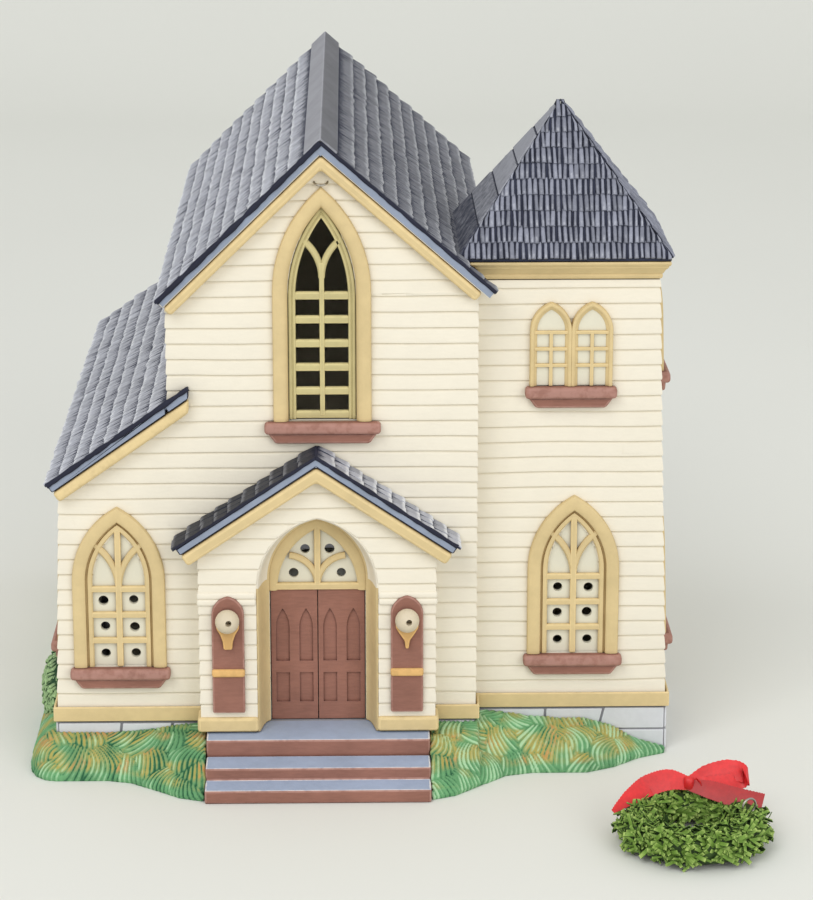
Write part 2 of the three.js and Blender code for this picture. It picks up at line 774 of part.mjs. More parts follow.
function bank(stations, grow = 0) {
  const positions = [];
  const ringSize = BANK_SHARES.length + 2;
  for (const { back, front, height } of stations) {
    positions.push(back[0], back[1], 0);
    for (const [out, up] of BANK_SHARES) {
      positions.push(
        back[0] + (front[0] - back[0]) * out,
        back[1] + (front[1] - back[1]) * out,
        BANK_LIP + (height - BANK_LIP) * up + grow
      );
    }
    positions.push(front[0], front[1], 0);
  }
  const index = [];
  for (let s = 0; s + 1 < stations.length; s++) {
    for (let k = 0; k < ringSize; k++) {
      const a = s * ringSize + k;
      const b = s * ringSize + (k + 1) % ringSize;
      index.push(a, a + ringSize, b, b, a + ringSize, b + ringSize);
    }
  }
  const last = (stations.length - 1) * ringSize;
  for (let k = 1; k + 1 < ringSize; k++) {
    index.push(0, k, k + 1);
    index.push(last, last + k + 1, last + k);
  }
  const geometry = new THREE.BufferGeometry();
  geometry.setAttribute('position', new THREE.Float32BufferAttribute(positions, 3));
  geometry.setIndex(index);
  geometry.computeVertexNormals();
  return geometry;
}

// From the steps to the front left corner, round it and back along the aisle
function leftBankStations() {
  const stations = [];
  const startX = stepsLeft - SEAM;
  const cornerX = -aisleFoot - SEAM;
  const frontCount = 7;
  for (let i = 0; i < frontCount; i++) {
    const x = startX + (cornerX - startX) * i / (frontCount - 1);
    const share = (startX - x) / BANK_SPREAD;
    stations.push({
      back: [x, -SEAM],
      front: [x, -blend(BANK_REACH_BY_LANDING, BANK_REACH_FRONT, share)],
      height: blend(BANK_HEIGHT_BY_LANDING, BANK_HEIGHT, share)
    });
  }
  for (let i = 1; i <= BANK_CORNER_STATIONS; i++) {
    const angle = Math.PI / 2 * i / BANK_CORNER_STATIONS;
    stations.push({
      back: [cornerX - SEAM * Math.sin(angle), -SEAM * Math.cos(angle)],
      front: [cornerX - BANK_REACH_SIDE * Math.sin(angle), -BANK_REACH_FRONT * Math.cos(angle)],
      height: BANK_HEIGHT
    });
  }
  const sideCount = 6;
  for (let i = 1; i <= sideCount; i++) {
    const y = (aisleDepth - SEAM) * i / sideCount;
    const share = (y - aisleDepth + BANK_TAIL) / BANK_TAIL;
    stations.push({
      back: [cornerX - SEAM, y],
      front: [cornerX - blend(BANK_REACH_SIDE, BANK_REACH_END, share), y],
      height: blend(BANK_HEIGHT, BANK_HEIGHT_END, share)
    });
  }
  return stations;
}

// From the steps past the nave corner and along the tower to its right corner
function rightBankStations() {
  const stations = [];
  const startX = stepsRight + SEAM;
  const cornerX = naveHalf + SEAM;
  for (const x of [startX, (startX + cornerX) / 2, cornerX]) {
    const share = (x - startX) / BANK_SPREAD;
    stations.push({
      back: [x, -SEAM],
      front: [x, -blend(BANK_REACH_BY_LANDING, BANK_REACH_TOWER - TOWER_SETBACK, share)],
      height: BANK_HEIGHT_BY_LANDING
    });
  }
  const towerCount = 8;
  for (let i = 0; i < towerCount; i++) {
    const x = cornerX + SEAM + (towerFoot - cornerX - SEAM) * i / (towerCount - 1);
    const reach = blend(BANK_REACH_BY_LANDING + TOWER_SETBACK, BANK_REACH_TOWER, (x - startX) / BANK_SPREAD);
    const height = blend(BANK_HEIGHT_BY_LANDING, BANK_HEIGHT, (x - cornerX) / BANK_TAIL);
    const tail = (x - towerFoot + BANK_TAIL) / BANK_TAIL;
    stations.push({
      back: [x, TOWER_SETBACK - SEAM],
      front: [x, TOWER_SETBACK - blend(reach, BANK_REACH_END, tail)],
      height: blend(height, BANK_HEIGHT_END, tail)
    });
  }
  return stations;
}

// A clipped bush on the side bank, against the wall and under the first window
function sideBush() {
  const mound = new THREE.SphereGeometry(1, 14, 10);
  const half = (sillFoot - BUSH_BELOW_SILL) / 2;
  mound.scale(BUSH_REACH, BUSH_LENGTH / 2, half);
  const wall = -aisleFoot - BAND_PROUD - SEAM;
  mound.translate(wall, BUSH_FROM_FRONT, half);
  const outside = block(-FAR, wall, -FAR, FAR, -FAR, FAR);
  return cut(keepInside(mound, outside), bank(leftBankStations(), SEAM));
}

// Roofs

const roofFront = -VERGE;
const roofRear = NAVE_DEPTH + VERGE;

function naveRoofLeft() {
  const band = slopeBand(-1, ridge, LEFT_ROOF_SLOPE, SEAM / 2, naveHalf + EAVE_LEFT, ROOF_THICKNESS);
  return frontSlice(shapeOf(band), roofFront, roofRear);
}

function naveRoofRight() {
  const band = slopeBand(1, ridge, RIGHT_ROOF_SLOPE, SEAM / 2, naveHalf + EAVE_RIGHT, ROOF_THICKNESS);
  const towerNotch = block(naveHalf, FAR, towerRoofFront - SEAM, towerRoofRear + SEAM, 0, FAR);
  return cut(frontSlice(shapeOf(band), roofFront, roofRear), towerNotch);
}

function naveRidgeCap() {
  const top = ridge + SEAM + RIDGE_CAP_THICKNESS;
  const reach = RIDGE_CAP_REACH;
  const band = veeBand(top, LEFT_ROOF_SLOPE, reach, RIGHT_ROOF_SLOPE, reach, RIDGE_CAP_THICKNESS);
  return frontSlice(shapeOf(band), roofFront, roofRear);
}

function naveBargeboard(y0, y1) {
  const top = ridge - ROOF_THICKNESS - SEAM;
  const left = naveHalf + EAVE_LEFT - eaveTuck(LEFT_ROOF_SLOPE, ROOF_THICKNESS);
  const right = naveHalf + EAVE_RIGHT - eaveTuck(RIGHT_ROOF_SLOPE, ROOF_THICKNESS) - BARGE_SHORT_OF_EAVE;
  const band = veeBand(top, LEFT_ROOF_SLOPE, left, RIGHT_ROOF_SLOPE, right, BARGE_HEIGHT);
  return frontSlice(shapeOf(band), y0, y1);
}

// An outline under the aisle slope, from one x to another
function aisleBand(from, to, drop, thickness) {
  const tuck = eaveTuck(AISLE_ROOF_SLOPE, thickness);
  return [
    [from, aisleRoofTop(from) - drop],
    [to, aisleRoofTop(to) - drop],
    [to, aisleRoofTop(to) - drop - thickness],
    [from + tuck, aisleRoofTop(from + tuck) - drop - thickness]
  ];
}

// The slates stop at the nave wall, but the front verge laps across it
function aisleRoof() {
  const slates = aisleBand(-aisleTip, -naveHalf - SEAM, 0, AISLE_ROOF_THICKNESS);
  const lap = aisleBand(-naveHalf - LAP, -naveHalf + AISLE_VERGE_LAP, 0, AISLE_ROOF_THICKNESS);
  return join(
    frontSlice(shapeOf(slates), roofFront, aisleDepth + VERGE),
    frontSlice(shapeOf(lap), roofFront, -SEAM)
  );
}

function aisleBargeboard(y0, y1, inner) {
  const outer = -aisleTip + eaveTuck(AISLE_ROOF_SLOPE, AISLE_ROOF_THICKNESS);
  return frontSlice(shapeOf(aisleBand(outer, inner, AISLE_ROOF_THICKNESS + SEAM, BARGE_HEIGHT)), y0, y1);
}

// Four slopes over a plan, with a blunt tip
function pyramid(x0, x1, y0, y1, z0, edge, z1, tip) {
  const cx = (x0 + x1) / 2;
  const cy = (y0 + y1) / 2;
  const levels = [
    [x0, x1, y0, y1, z0],
    [x0, x1, y0, y1, z0 + edge],
    [cx - tip / 2, cx + tip / 2, cy - tip / 2, cy + tip / 2, z1]
  ];
  const positions = [];
  for (const [a, b, c, d, z] of levels) {
    positions.push(a, c, z, b, c, z, b, d, z, a, d, z);
  }
  const index = [0, 2, 1, 0, 3, 2, 8, 9, 10, 8, 10, 11];
  for (const base of [0, 4]) {
    for (let k = 0; k < 4; k++) {
      const here = base + k;
      const next = base + (k + 1) % 4;
      index.push(here, next, next + 4, here, next + 4, here + 4);
    }
  }
  const geometry = new THREE.BufferGeometry();
  geometry.setAttribute('position', new THREE.Float32BufferAttribute(positions, 3));
  geometry.setIndex(index);
  geometry.computeVertexNormals();
  return geometry;
}

// Everything that the right slope of the nave roof fills, with the seam above it
function naveRoofRegion() {
  return frontSlice(shapeOf([
    [0, 0],
    [naveHalf + SEAM, 0],
    [naveHalf + SEAM, ridge - RIGHT_ROOF_SLOPE * (naveHalf + SEAM) + SEAM * 2],
    [0, ridge + SEAM * 2]
  ]), roofFront, roofRear);
}

function towerRoof() {
  const outer = pyramid(towerRoofLeft, towerRoofRight, towerRoofFront, towerRoofRear,
    towerEave + SEAM, TOWER_ROOF_EDGE, towerApex, TOWER_TIP);
  const skin = TOWER_ROOF_SKIN;
  const inner = pyramid(towerRoofLeft + skin, towerRoofRight - skin,
    towerRoofFront + skin, towerRoofRear - skin,
    towerEave - LAP, TOWER_ROOF_EDGE, towerApex - skin * 1.5, TOWER_TIP);
  return cut(outer, inner, naveRoofRegion());
}

// A moulding that leans out from the wall to the eave, on the three free sides
function towerCornice() {
  const x0 = naveHalf + SEAM;
  const rise = CORNICE_HEIGHT;
  const wide = pyramidBand(x0 - TOWER_ROOF_LAP, towerTopRight, TOWER_SETBACK, towerRear, corniceFoot, rise,
    TOWER_EAVE, TOWER_FRONT_EAVE);
  const inside = block(0, towerTopRight - WALL, TOWER_SETBACK + WALL, towerRear - WALL, 0, FAR);
  const rightOfNave = block(x0, FAR, -FAR, FAR, 0, FAR);
  return keepInside(cut(wide, inside), rightOfNave);
}

// A block whose right, front and rear sides lean outwards
function pyramidBand(x0, x1, y0, y1, z0, rise, leanSide, leanEnds) {
  const levels = [
    [x0, x1, y0, y1, z0],
    [x0, x1 + leanSide, y0 - leanEnds, y1 + leanEnds, z0 + rise]
  ];
  const positions = [];
  for (const [a, b, c, d, z] of levels) {
    positions.push(a, c, z, b, c, z, b, d, z, a, d, z);
  }
  const index = [0, 2, 1, 0, 3, 2, 4, 5, 6, 4, 6, 7];
  for (let k = 0; k < 4; k++) {
    const next = (k + 1) % 4;
    index.push(k, next, next + 4, k, next + 4, k + 4);
  }
  const geometry = new THREE.BufferGeometry();
  geometry.setAttribute('position', new THREE.Float32BufferAttribute(positions, 3));
  geometry.setIndex(index);
  geometry.computeVertexNormals();
  return geometry;
}

function porchVee(top, reach, thickness) {
  return shapeOf(veeBand(top, PORCH_ROOF_SLOPE, reach, PORCH_ROOF_SLOPE, reach, thickness));
}

function porchRoof() {
  const vee = porchVee(porchRidge, porchRoofHalf, PORCH_ROOF_THICKNESS);
  return frontSlice(vee, -PORCH_DEPTH - PORCH_VERGE, -SEAM).applyMatrix4(porchCentre);
}

function porchBargeboard() {
  const reach = porchRoofHalf - eaveTuck(PORCH_ROOF_SLOPE, PORCH_ROOF_THICKNESS);
  const vee = porchVee(porchRidge - PORCH_ROOF_THICKNESS - SEAM, reach, PORCH_BARGE_HEIGHT);
  return frontSlice(vee, -PORCH_DEPTH - PORCH_VERGE, -PORCH_DEPTH - SEAM).applyMatrix4(porchCentre);
}

// Gable window

function gableWindowFrame() {
  const outer = lancet(0, gableWindowFoot, GABLE_WINDOW_WIDTH / 2, gableWindowTop, GABLE_WINDOW_RISE);
  const inner = lancet(0, gableWindowFoot, gableHalf, gableTop, gableRise);
  return ringOf(outer, inner, -SEAM - FRAME_PROUD, -SEAM);
}

function gableWindowLattice() {
  const y0 = SEAM;
  const y1 = SEAM + LATTICE_THICKNESS;
  const half = gableHalf - SEAM;
  const foot = gableWindowFoot + SEAM;
  const top = gableTop - SEAM;
  const outer = lancet(0, foot, half, top, gableRise);
  const inner = lancet(0, foot + LATTICE_BAR / 2, half - LATTICE_BORDER, top - LATTICE_BORDER * 1.5,
    gableRise - LATTICE_BORDER);
  const ring = ringOf(outer, inner, y0, y1);
  const armFoot = foot + LATTICE_ROWS * LATTICE_PITCH + LATTICE_BAR + TRACERY_RAISE;
  const bars = [block(-LATTICE_MULLION / 2, LATTICE_MULLION / 2, y0, y1, foot + LAP, armFoot + LAP)];
  for (let row = 0; row <= LATTICE_ROWS; row++) {
    const z = foot + row * LATTICE_PITCH;
    bars.push(block(-half + LAP, half - LAP, y0, y1, z, z + LATTICE_BAR));
  }
  const inside = frontSlice(shapeOf(outer), y0, y1);
  const arms = traceryArms(0, armFoot, half * 0.62, (top - armFoot) * 0.5, LATTICE_MULLION * 1.3, y0, y1);
  return join(ring, ...bars, ...arms.map((arm) => keepInside(arm, inside)));
}

// Door

function doorSurround() {
  const outer = lancet(0, wallFoot, archHalf - SEAM, archTop - SEAM, archRise);
  const inner = lancet(0, wallFoot, DOORWAY_WIDTH / 2, doorwayTop, FANLIGHT_RISE);
  const shape = shapeOf([...outer, ...inner.reverse()]);
  return frontSlice(shape, -SEAM - SURROUND_DEPTH, -SEAM).applyMatrix4(porchCentre);
}

function doorLeaf(side) {
  const edge = DOORWAY_WIDTH / 2 - SEAM;
  const [x0, x1] = side < 0 ? [-edge, -SEAM / 2] : [SEAM / 2, edge];
  return block(x0, x1, SEAM, SEAM + DOOR_THICKNESS, wallFoot, doorTop).applyMatrix4(porchCentre);
}

function fanlight() {
  const half = DOORWAY_WIDTH / 2 - SEAM;
  const outline = lancet(0, fanlightFoot, half, doorwayTop - SEAM, FANLIGHT_RISE - SEAM);
  const holes = [];
  for (const [x, z] of FANLIGHT_HOLES) {
    holes.push(disc(-x, fanlightFoot + z, VENT_RADIUS), disc(x, fanlightFoot + z, VENT_RADIUS));
  }
  const plate = frontSlice(shapeOf(outline, ...holes), SEAM + BAR_PROUD / 2, SEAM + FANLIGHT_THICKNESS);
  const inside = frontSlice(shapeOf(outline), SEAM - BAR_PROUD / 2, SEAM + BAR_PROUD);
  const bar = FANLIGHT_BAR;
  const foot = fanlightFoot;
  const bars = [
    block(-half, half, -FAR, FAR, 0, foot + bar),
    block(-bar / 2, bar / 2, -FAR, FAR, foot, FAR),
    ...traceryArms(0, foot + bar * 2, half * 0.7, FANLIGHT_RISE * 0.55, bar, -FAR, FAR)
  ];
  return join(plate, ...bars.map((piece) => keepInside(piece, inside))).applyMatrix4(porchCentre);
}

// Lanterns

const plaqueFoot = FOUNDATION_HEIGHT + PLAQUE_ABOVE_LANDING;
const plaqueCentre = archHalf + PILLAR_WIDTH / 2;
const plaqueFront = -SEAM - PLAQUE_THICKNESS;

function lanternPlaque(side) {
  const x = side * plaqueCentre;
  const half = PLAQUE_WIDTH / 2;
  const outline = lancet(x, plaqueFoot, half, plaqueFoot + PLAQUE_HEIGHT, PLAQUE_RISE);
  const plate = frontSlice(shapeOf(outline), plaqueFront, -SEAM);
  const bandFoot = plaqueFoot + PLAQUE_BAND_RISE;
  const band = block(x - half, x + half, plaqueFront - PLAQUE_BAND_PROUD, -SEAM * 2,
    bandFoot, bandFoot + PLAQUE_BAND_HEIGHT);
  return join(plate, band).applyMatrix4(porchFront);
}

function lantern(side) {
  const x = side * plaqueCentre;
  const z = plaqueFoot + GLOBE_RISE;
  const back = plaqueFront - SEAM;
  const bracket = frontSlice(shapeOf([
    [x - BRACKET_TOP_HALF, z],
    [x - BRACKET_TOP_HALF, z - GLOBE_RADIUS],
    [x - BRACKET_TIP_HALF, z - BRACKET_DROP],
    [x + BRACKET_TIP_HALF, z - BRACKET_DROP],
    [x + BRACKET_TOP_HALF, z - GLOBE_RADIUS],
    [x + BRACKET_TOP_HALF, z]
  ]), back - BRACKET_THICKNESS, back);
  const globe = new THREE.SphereGeometry(GLOBE_RADIUS, 14, 10);
  globe.rotateX(Math.PI / 2).translate(x, back - GLOBE_RADIUS, z);
  const bore = frontSlice(shapeOf(disc(x, z, GLOBE_BORE)), -FAR, back - GLOBE_RADIUS * 2 + GLOBE_BORE_DEPTH);
  return cut(join(bracket, globe), bore).applyMatrix4(porchFront);
}

function wreathEye() {
  const z = gableWindowTop + EYE_ABOVE_WINDOW;
  return halfRing(EYE_RADIUS, EYE_WIRE).translate(0, -SEAM, z);
}

function rearOpeningFrame() {
  const foot = wallFoot + BAND_HEIGHT + SEAM;
  const half = REAR_OPENING_WIDTH / 2;
  const outer = lancet(0, foot, half + REAR_RIM, rearOpeningTop + REAR_RIM * 1.4,
    REAR_OPENING_RISE + REAR_RIM);
  const inner = lancet(0, foot, half, rearOpeningTop, REAR_OPENING_RISE);
  const shape = shapeOf([...outer, ...inner.reverse()]);
  return frontSlice(shape, -SEAM - FRAME_PROUD, -SEAM).applyMatrix4(naveRear);
}

// Wreath, lying in front of the tower

const wreathX = towerFoot + WREATH_RIGHT_OF_TOWER;
const wreathPlace = new THREE.Matrix4().makeTranslation(wreathX, -WREATH_IN_FRONT, 0);

function turned(profile, segments) {
  const points = profile.map(([r, z]) => new THREE.Vector2(r, z));
  return new THREE.LatheGeometry(points, segments).rotateX(Math.PI / 2);
}

function wreathRing() {
  const inner = WREATH_RADIUS - WREATH_TUBE;
  const outer = WREATH_RADIUS + WREATH_TUBE;
  const soft = WREATH_TUBE * 0.35;
  const top = WREATH_HEIGHT;
  const profile = [
    [inner + soft, 0],
    [outer - soft, 0],
    [outer, top * 0.3],
    [outer, top * 0.62],
    [outer - soft, top * 0.93],
    [WREATH_RADIUS, top],
    [inner + soft, top * 0.93],
    [inner, top * 0.62],
    [inner, top * 0.3],
    [inner + soft, 0]
  ];
  return turned(profile, 32).applyMatrix4(wreathPlace);
}

function wreathBow() {
  const z = WREATH_HEIGHT + SEAM + BOW_THICKNESS;
  const loops = [-1, 1].map((side) => {
    const loop = new THREE.SphereGeometry(1, 14, 10);
    loop.scale(BOW_REACH / 2, BOW_DEPTH, BOW_THICKNESS);
    return loop.translate(side * BOW_REACH / 2, BOW_BEHIND, z);
  });
  const knot = new THREE.SphereGeometry(KNOT_RADIUS, 12, 8).scale(1, 1, BOW_THICKNESS / KNOT_RADIUS);
  return join(knot.translate(0, BOW_BEHIND, z), ...loops).applyMatrix4(wreathPlace);
}

// A wire loop that stands on the ring, off to the right
function wreathHook() {
  const hook = halfRing(HOOK_RADIUS, HOOK_WIRE).rotateX(-Math.PI / 2);
  hook.translate(WREATH_RADIUS, 0, WREATH_HEIGHT + SEAM);
  return hook.applyMatrix4(wreathPlace);
}

// Tealight

const tealightPlace = new THREE.Matrix4().makeTranslation(
  0, NAVE_DEPTH - TEALIGHT_FROM_REAR, FLOOR_THICKNESS + SEAM);
const waxTop = TEALIGHT_HEIGHT - WAX_BELOW_RIM;

function tealightCup() {
  const inside = TEALIGHT_RADIUS - TEALIGHT_SKIN;
  return turned([
    [0, 0],
    [TEALIGHT_RADIUS, 0],
    [TEALIGHT_RADIUS, TEALIGHT_HEIGHT],
    [inside, TEALIGHT_HEIGHT],
    [inside, TEALIGHT_SKIN],
    [0, TEALIGHT_SKIN]
  ], 32).applyMatrix4(tealightPlace);
}

function tealightWax() {
  const outer = TEALIGHT_RADIUS - TEALIGHT_SKIN - SEAM;
  const bore = WICK_RADIUS + SEAM;
  const foot = TEALIGHT_SKIN + SEAM;
  return turned([
    [bore, foot],
    [outer, foot],
    [outer, waxTop],
    [bore, waxTop],
    [bore, foot]
  ], 32).applyMatrix4(tealightPlace);
}

function tealightWick() {
  const foot = TEALIGHT_SKIN + SEAM;
  return turned([
    [0, foot],
    [WICK_RADIUS, foot],
    [WICK_RADIUS, waxTop + WICK_ABOVE_WAX],
    [0, waxTop + WICK_ABOVE_WAX]
  ], 8).applyMatrix4(tealightPlace);
}

// Finishes: colour, roughness and metalness

const finishes = {
  siding: [0xf0e8d4, 0.75, 0],
  trim: [0xdec48a, 0.7, 0],
  lattice: [0xbeb282, 0.7, 0],
  sill: [0x8e5c54, 0.75, 0],
  slate: [0x75798a, 0.8, 0],
  ridge: [0x8b8f9c, 0.8, 0],
  stone: [0xcdcdd2, 0.85, 0],
  floor: [0xe6e2d8, 0.85, 0],
  tread: [0x92a0b4, 0.8, 0],
  grass: [0x64b482, 0.85, 0],
  bush: [0x4f9460, 0.85, 0],
  pane: [0xeeeee6, 0.6, 0],
  wire: [0xb8b4ac, 0.4, 0.9],
  sprig: [0x6e963c, 0.8, 0],
  ribbon: [0xe63232, 0.35, 0],
  cup: [0xc8cacc, 0.3, 1],
  wax: [0xf2eee0, 0.45, 0],
  wick: [0xe4ddc8, 0.9, 0]
};

const church = new THREE.Group();

function add(name, finish, geometry) {
  const [color, roughness, metalness] = finishes[finish];
  const mesh = new THREE.Mesh(geometry, new THREE.MeshStandardMaterial({ color, roughness, metalness }));
  mesh.name = name;
  church.add(mesh);
}

// Base
add('base_floor', 'floor', baseFloor());
add('foundation', 'stone', foundation());
add('grass_bank_left', 'grass', bank(leftBankStations()));
add('grass_bank_right', 'grass', bank(rightBankStations().reverse()));
add('side_bush', 'bush', sideBush());
add('landing', 'tread', landing());
add('steps', 'tread', steps());

// Shells
add('nave_shell', 'siding', naveShell());
add('aisle_shell', 'siding', aisleShell());
add('tower_shell', 'siding', towerShell());
add('porch_shell', 'siding', porchShell());
add('water_table_left', 'trim', waterTable(-1));
add('water_table_right', 'trim', waterTable(1));

// Roofs
add('nave_roof_left', 'slate', naveRoofLeft());
add('nave_roof_right', 'slate', naveRoofRight());
add('nave_ridge_cap', 'ridge', naveRidgeCap());
add('nave_bargeboard_front', 'trim', naveBargeboard(roofFront, -SEAM));
add('nave_bargeboard_rear', 'trim', naveBargeboard(NAVE_DEPTH + SEAM, roofRear));
add('aisle_roof', 'slate', aisleRoof());
const aisleRear = aisleDepth + SEAM;
add('aisle_bargeboard_front', 'trim', aisleBargeboard(roofFront, -SEAM, -naveHalf + AISLE_VERGE_LAP));
add('aisle_bargeboard_rear', 'trim', aisleBargeboard(aisleRear, aisleDepth + VERGE, -naveHalf - SEAM));
add('tower_roof', 'slate', towerRoof());
add('tower_cornice', 'trim', towerCornice());
add('porch_roof', 'slate', porchRoof());
add('porch_bargeboard', 'trim', porchBargeboard());

// Front windows
add('gable_window_frame', 'trim', gableWindowFrame());
add('gable_window_lattice', 'lattice', gableWindowLattice());
add('gable_window_sill', 'sill', sill(0, GABLE_WINDOW_WIDTH / 2, gableWindowFoot, GABLE_SILL_REACH));
add('aisle_window_frame', 'trim', lancetFrame(aisleWindowX));
add('aisle_window_panes', 'pane', lancetPanes(aisleWindowX));
add('aisle_window_sill', 'sill', sill(aisleWindowX, LANCET_WIDTH / 2, lancetFoot));
add('tower_window_frame', 'trim', lancetFrame(towerWindowX).applyMatrix4(towerFront));
add('tower_window_panes', 'pane', lancetPanes(towerWindowX).applyMatrix4(towerFront));
add('tower_window_sill', 'sill', sill(towerWindowX, LANCET_WIDTH / 2, lancetFoot).applyMatrix4(towerFront));
add('twin_window_frame', 'trim', twinFrame(twinX).applyMatrix4(towerFront));
add('twin_window_panes', 'pane', twinPanes(twinX).applyMatrix4(towerFront));
add('twin_window_sill', 'sill', sill(twinX, TWIN_WIDTH, twinFoot).applyMatrix4(towerFront));

// Side windows
spaced(AISLE_SIDE_WINDOWS, 0, aisleDepth).forEach((y, i) => {
  add(`aisle_side_window_${i + 1}`, 'trim', sideLancet(-y).applyMatrix4(aisleLeft));
});
spaced(NAVE_SIDE_WINDOWS, towerRear, NAVE_DEPTH).forEach((y, i) => {
  add(`nave_side_window_${i + 1}`, 'trim', sideLancet(y).applyMatrix4(naveRight));
});
const towerMiddle = (TOWER_SETBACK + towerRear) / 2;
add('tower_side_window', 'trim', sideLancet(towerMiddle).applyMatrix4(towerRight));
add('tower_side_twin_window', 'trim', sideTwin(towerMiddle).applyMatrix4(towerRight));
add('rear_opening_frame', 'trim', rearOpeningFrame());

// Door and lanterns
add('door_surround', 'trim', doorSurround());
add('door_leaf_left', 'sill', doorLeaf(-1));
add('door_leaf_right', 'sill', doorLeaf(1));
add('fanlight', 'pane', fanlight());
add('lantern_plaque_left', 'sill', lanternPlaque(-1));
add('lantern_plaque_right', 'sill', lanternPlaque(1));
add('lantern_left', 'pane', lantern(-1));
add('lantern_right', 'pane', lantern(1));
add('wreath_eye', 'wire', wreathEye());

// Loose pieces
add('wreath_ring', 'sprig', wreathRing());
add('wreath_bow', 'ribbon', wreathBow());
add('wreath_hook', 'wire', wreathHook());
add('tealight_cup', 'cup', tealightCup());
add('tealight_wax', 'wax', tealightWax());
add('tealight_wick', 'wick', tealightWick());

// The origin is under the middle of the nave, on the surface that the church stands on
church.position.set(0, -NAVE_DEPTH / 2, 0);

export default church;
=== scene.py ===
import math
import random

import bmesh
import bpy
import numpy as np
from bpy.props import FloatProperty, FloatVectorProperty, IntProperty, PointerProperty
from mathutils import Matrix, Vector, noise


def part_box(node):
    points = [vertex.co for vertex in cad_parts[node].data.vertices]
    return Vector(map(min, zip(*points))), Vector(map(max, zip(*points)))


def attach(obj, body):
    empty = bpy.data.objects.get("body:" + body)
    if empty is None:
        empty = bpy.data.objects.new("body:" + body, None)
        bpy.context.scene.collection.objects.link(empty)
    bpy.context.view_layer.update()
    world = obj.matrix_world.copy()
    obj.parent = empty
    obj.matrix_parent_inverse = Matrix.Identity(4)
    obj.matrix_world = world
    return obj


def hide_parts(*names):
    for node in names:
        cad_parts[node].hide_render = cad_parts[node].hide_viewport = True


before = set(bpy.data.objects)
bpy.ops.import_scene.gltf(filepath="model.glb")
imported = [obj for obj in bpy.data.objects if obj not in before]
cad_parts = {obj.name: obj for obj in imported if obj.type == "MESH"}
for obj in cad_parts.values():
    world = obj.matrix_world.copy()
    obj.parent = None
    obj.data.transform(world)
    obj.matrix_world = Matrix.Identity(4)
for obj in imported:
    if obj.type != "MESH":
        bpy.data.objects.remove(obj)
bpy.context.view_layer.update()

bl_info = {
    "name": "Village church",
    "version": (1, 0, 0),
    "blender": (4, 5, 0),
    "location": "View3D > Sidebar > Church",
    "description": "Hand-painted bisque village church with a side aisle, a tower and a loose wreath",
    "category": "Add Mesh",
}

MM = 0.001


def paint(red, green, blue):
    """A colour read off a paint card, 0 to 255 a channel, in Blender's linear values."""
    def channel(value):
        share = value / 255
        return share / 12.92 if share <= 0.04045 else ((share + 0.055) / 1.055) ** 2.4
    return (channel(red), channel(green), channel(blue))


def low(node):
    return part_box(node)[0]


def high(node):
    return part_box(node)[1]


def middle_of(node):
    """The middle of a node's box across and in depth."""
    corner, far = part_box(node)
    return (corner.x + far.x) / 2, (corner.y + far.y) / 2


def face_of(node):
    """The middle across, half the width, the foot and the top of a node's box, as seen from the front."""
    corner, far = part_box(node)
    return (corner.x + far.x) / 2, (far.x - corner.x) / 2, corner.z, far.z


# Places read from the frame

FRONT = low("nave_shell").y
REAR = high("nave_shell").y
NAVE_SIDE = high("nave_shell").x
AISLE_SIDE = low("aisle_shell").x
AISLE_REAR = high("aisle_shell").y
TOWER_SIDE = high("tower_shell").x
TOWER_FRONT = low("tower_shell").y
TOWER_REAR = high("tower_shell").y
PORCH_FRONT = low("porch_shell").y
PORCH_X = middle_of("porch_shell")[0]
WALL_FOOT = low("nave_shell").z
STONE_TOP = high("foundation").z
BAND_TOP = high("water_table_left").z
RIDGE = high("nave_roof_left").z

# Shapes that the frame's boxes don't say

WALL_LEAN = 0.034
SEAM = 0.3 * MM
LEFT_SLOPE = 0.974
RIGHT_SLOPE = 0.873
AISLE_SLOPE = 0.7
PORCH_SLOPE = 0.67
PORCH_ARCH = 18.8 * MM
PORCH_LEDGES = (56.6 * MM, 58.7 * MM)
DOOR_SPRING = 57.5 * MM
REAR_OPENING_HALF = 31 * MM
TRIM_PROUD = 2.3 * MM

# Slack for cuts and for merging corners

CUT_SLACK = 0.001 * MM
DOUBLE_SLACK = 0.01 * MM

# The stage, with the camera fitted to the photo

CAMERA_PLACE = (0.00816857, -0.994957, 0.35616)
CAMERA_TURN = (math.radians(74.0667), 0, math.radians(-1.1318))
CAMERA_LENS = 120
LAMP_SIZE = 1.44
LAMPS = {"key": ((-0.96, -1.76, 2.03), 23.0), "fill": ((1.2, -2.16, 0.99), 16.4)}
SKY_LIGHT = 0.76


# Sizes and colours that a user would change

def size(name, description, millimetres):
    return FloatProperty(name=name, description=description, default=millimetres * MM, unit="LENGTH",
                         precision=5)


def colour(name, description, card):
    return FloatVectorProperty(name=name, description=description, default=paint(*card), size=3,
                               subtype="COLOR", min=0, max=1)


